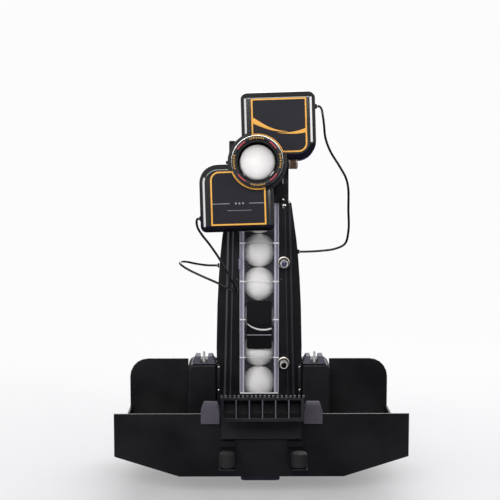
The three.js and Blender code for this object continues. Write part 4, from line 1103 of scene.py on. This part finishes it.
# %% [markdown]
# Where the column meets the hubs, a rounded strip and a thin seam cover the joint, with two tiny screws in
# each strip. They are rounded blocks, like the ribs of the cover.

# %% Trim the edges between column and hubs
trim_top, trim_front = 16.6, 184.6
for side, mark in both_sides:
    for name, near, far, front, back, low, edge_radius in (
        ("trim", 46.2, 50.8, trim_front, 189.9, -60, 1.2), ("seam", 49.9, 51.3, 196, 233, -68, 0.2),
    ):
        inner, outer = sorted((side * near, side * far))
        small_block(f"foot_{name}_{mark}", (inner, front, low), (outer, back, trim_top), satin_black,
                    edge_radius)
    for name, height in (("high", 13.6), ("low", -14.2)):
        cross_screw(f"foot_screw_{name}_{mark}", spot(side * 48.4, trim_front, height) @ facing_front,
                    "frame", 1.1, 0.6)

# %% [markdown]
# The rails carry two fine raised ridges each. Their fronts lean outwards, so they catch the side lights as
# thin grey lines down the column, and their paler finish adds a painted sheen to those lines. A thin black
# sheet of painted shade lies in the slot of each socket on the hubs, so that the slot looks deep. The ridges
# follow the column as it narrows, so each is a prism whose top is shifted inwards.

# %% Add the ridges and the painted shade in the slots
ridge_foot, ridge_top, ridge_front, ridge_back, ridge_slope = -60, 209.4, 184.3, 186, 0.42
slot_x, slot_half = 65.8, 4.5
for side, mark in both_sides:
    # Each ridge's paler finish is a painted sheen on top of the light that its leaning front catches.
    for name, width, top_x, foot_x in (("outer", 2.4, 34.6, 41.0), ("inner", 1.2, 29.6, 34.6)):
        section = [(0, ridge_back), (0, ridge_front), (side * width, ridge_front + ridge_slope * width),
                   (side * width, ridge_back)]
        prism(f"rail_ridge_{name}_{mark}", section, (side * foot_x, ridge_foot), (side * top_x, ridge_top),
              ridge_painted_sheen, 20)
    # A thin black sheet on the floor of each socket's slot is painted shade, so that the slot looks deep.
    small_block(f"slot_painted_shade_{mark}", (side * slot_x - slot_half, 182.6, 19.32),
                (side * slot_x + slot_half, 203.4, 19.58), soft_rubber, 0.1)
print("ridges", 4)

# %% [markdown]
# The hook's teeth get small pale prisms that lean back, painted glints for the light on their front edges,
# and its ribs get pale front edges, painted highlights. The glints are all alike and in one row, so they
# are one mesh of twenty small prisms.

# %% Add the painted glints on the teeth and the painted highlights on the ribs
tooth_count, tooth_width, hook_half, glint_overlap = 20, 1.6, 42.5, 0.05
tooth_pitch = (2 * hook_half - tooth_width) / (tooth_count - 1)
glint_section = [(-22.1, 25.5), (-21.1, 27.3), (-20.2, 27.2), (-20.2, 25.2)]
corners = len(glint_section)
glint_points, glint_faces = [], []
for tooth in range(tooth_count):
    left = -hook_half + tooth * tooth_pitch
    start = len(glint_points)
    for x in (left - glint_overlap, left + tooth_width + glint_overlap):
        glint_points += [(x * mm, y * mm, z * mm) for y, z in glint_section]
    glint_faces += [tuple(range(start, start + corners)), tuple(range(start + corners, start + 2 * corners))]
    glint_faces += ring_faces(start, start + corners, corners)
# The pale caps are painted glints, standing in for light on the teeth's front edges.
glints = made("hook_tooth_painted_glints", glint_points, glint_faces, "frame", painted_glint_grey, 20)
dress(glints)
hook_rib_count, hook_rib_pitch = 5, 13.417
rib_highlight_section = [(-0.35, -21.9), (-0.5, -22.12), (0.5, -22.12), (0.35, -21.9)]
# Each pale strip is a painted highlight on the front edge of one of the hook's ribs.
for rib in range(1, hook_rib_count + 1):
    middle = hook_rib_pitch * (rib - 3)
    prism(f"hook_rib_painted_highlight_{rib}", rib_highlight_section, (middle, 3.2), (middle, 22.6), rib_painted_highlight,
          20)
print("tooth caps", tooth_count)

# %% [markdown]
# ## Studio
# The robot stands on a pale floor that keeps its shadow near the part and fades to the white of the
# background further out, so no edge shows between floor and wall from any side. A large white backdrop
# could do that, but shiny black pieces would mirror it. So only the camera sees the white, and shiny pieces
# mirror a dim violet instead, as they would above a dark surface.

# %% Define what only the camera sees
studio_white = paint(253, 252, 253)


def camera_rays(tree):
    ray = add_node(tree, "ShaderNodeLightPath")
    kinds = {0: ray.outputs["Is Camera Ray"], 1: ray.outputs["Is Transmission Ray"]}
    return ray, add_node(tree, "ShaderNodeMath", sources=kinds, operation="MAXIMUM")


def mix_shaders(tree, share, first, second):
    sources = {"Fac": share, 1: first, 2: second}
    return add_node(tree, "ShaderNodeMixShader", sources=sources).outputs["Shader"]


print("studio white", [round(value, 3) for value in studio_white])

# %% [markdown]
# The floor is a wide sheet just under the lowest piece. Its own colour is a pale grey that takes the
# shadow. It fades to the white over about a metre, so that the shadow stays and the edge of the floor
# doesn't show.

# %% Lay the floor
def floor_material():
    material, tree = new_material("pale_floor")
    shader = fill(tree, tree.nodes["Principled BSDF"], {
        "Base Color": paint(240, 239, 241), "Roughness": 0.9, "Specular IOR Level": 0.1,
    })
    glow = add_node(tree, "ShaderNodeEmission", {"Color": studio_white})
    dim = add_node(tree, "ShaderNodeEmission", {"Color": paint(58, 54, 78)})
    ray, seen = camera_rays(tree)
    where = add_node(tree, "ShaderNodeNewGeometry")
    reach = add_node(tree, "ShaderNodeVectorMath", sources={0: where.outputs["Position"]},
                     operation="LENGTH")
    fade = add_node(tree, "ShaderNodeMapRange", {
        "From Min": 0.15, "From Max": 1.1, "To Min": 0.3, "To Max": 1,
    }, {"Value": reach.outputs["Value"]}, interpolation_type="SMOOTHSTEP")
    share = add_node(tree, "ShaderNodeMath", sources={
        0: seen.outputs["Value"], 1: fade.outputs["Result"],
    }, operation="MULTIPLY")
    lit = mix_shaders(tree, share.outputs["Value"], shader.outputs["BSDF"], glow.outputs["Emission"])
    whole = mix_shaders(tree, ray.outputs["Is Glossy Ray"], lit, dim.outputs["Emission"])
    fill(tree, tree.nodes["Material Output"], sources={"Surface": whole})
    return material


floor_height = -0.0988
floor_half = 12
floor_corners = [
    (x * floor_half, y * floor_half, floor_height) for x, y in ((-1, -1), (1, -1), (1, 1), (-1, 1))
]
floor_sheet = made("pale_floor", floor_corners, [(0, 1, 2, 3)], None, floor_material())
print("floor height", floor_height)

# %% [markdown]
# Two narrow soft lights stand about 50 degrees to either side and draw the pale bands down the housings'
# bevels. The left one reaches low enough for both housings, and the right one lights the upper housing's
# band alone. A wide light in front lights the balls, and hangs high enough that the flat fronts of the
# housings don't mirror it. One from behind parts the black pieces from each other. The level stays low
# enough that the white balls keep their shading.

# %% Set the lights
world = bpy.data.worlds.new("studio")
bpy.context.scene.world = world
world.use_nodes = True
sky = world.node_tree
soft_sky = fill(sky, sky.nodes["Background"], {"Color": (0.96, 0.97, 1, 1), "Strength": 0.24})
white_sky = add_node(sky, "ShaderNodeBackground", {"Color": studio_white})
sky_seen = camera_rays(sky)[1].outputs["Value"]
sky_mix = mix_shaders(sky, sky_seen, soft_sky.outputs["Background"], white_sky.outputs["Background"])
fill(sky, sky.nodes["World Output"], sources={"Surface": sky_mix})


def softbox(name, place, target, width, height, power):
    data = bpy.data.lights.new(name, "AREA")
    data.shape = "RECTANGLE"
    data.size, data.size_y, data.energy = width, height, power
    lamp = bpy.data.objects.new(name, data)
    lamp.location = place
    lamp.rotation_euler = (Vector(target) - Vector(place)).to_track_quat("-Z", "Y").to_euler()
    bpy.context.collection.objects.link(lamp)


softbox("front_softbox", (-0.2, -1.65, 0.92), (0, 0.15, 0.1), 1.5, 0.5, 17.4)
softbox("left_strip", (-0.97, -0.65, 0.3), (0, 0.12, 0.26), 0.28, 0.66, 3.2)
softbox("right_strip", (0.88, -0.74, 0.5), (0, 0.12, 0.4), 0.28, 0.32, 1.9)
softbox("back_softbox", (0.3, 1.7, 1.2), (0, 0.15, 0.1), 2.2, 1.4, 40)
bpy.context.scene.view_settings.view_transform = "Standard"
print("lights", len(bpy.data.lights))
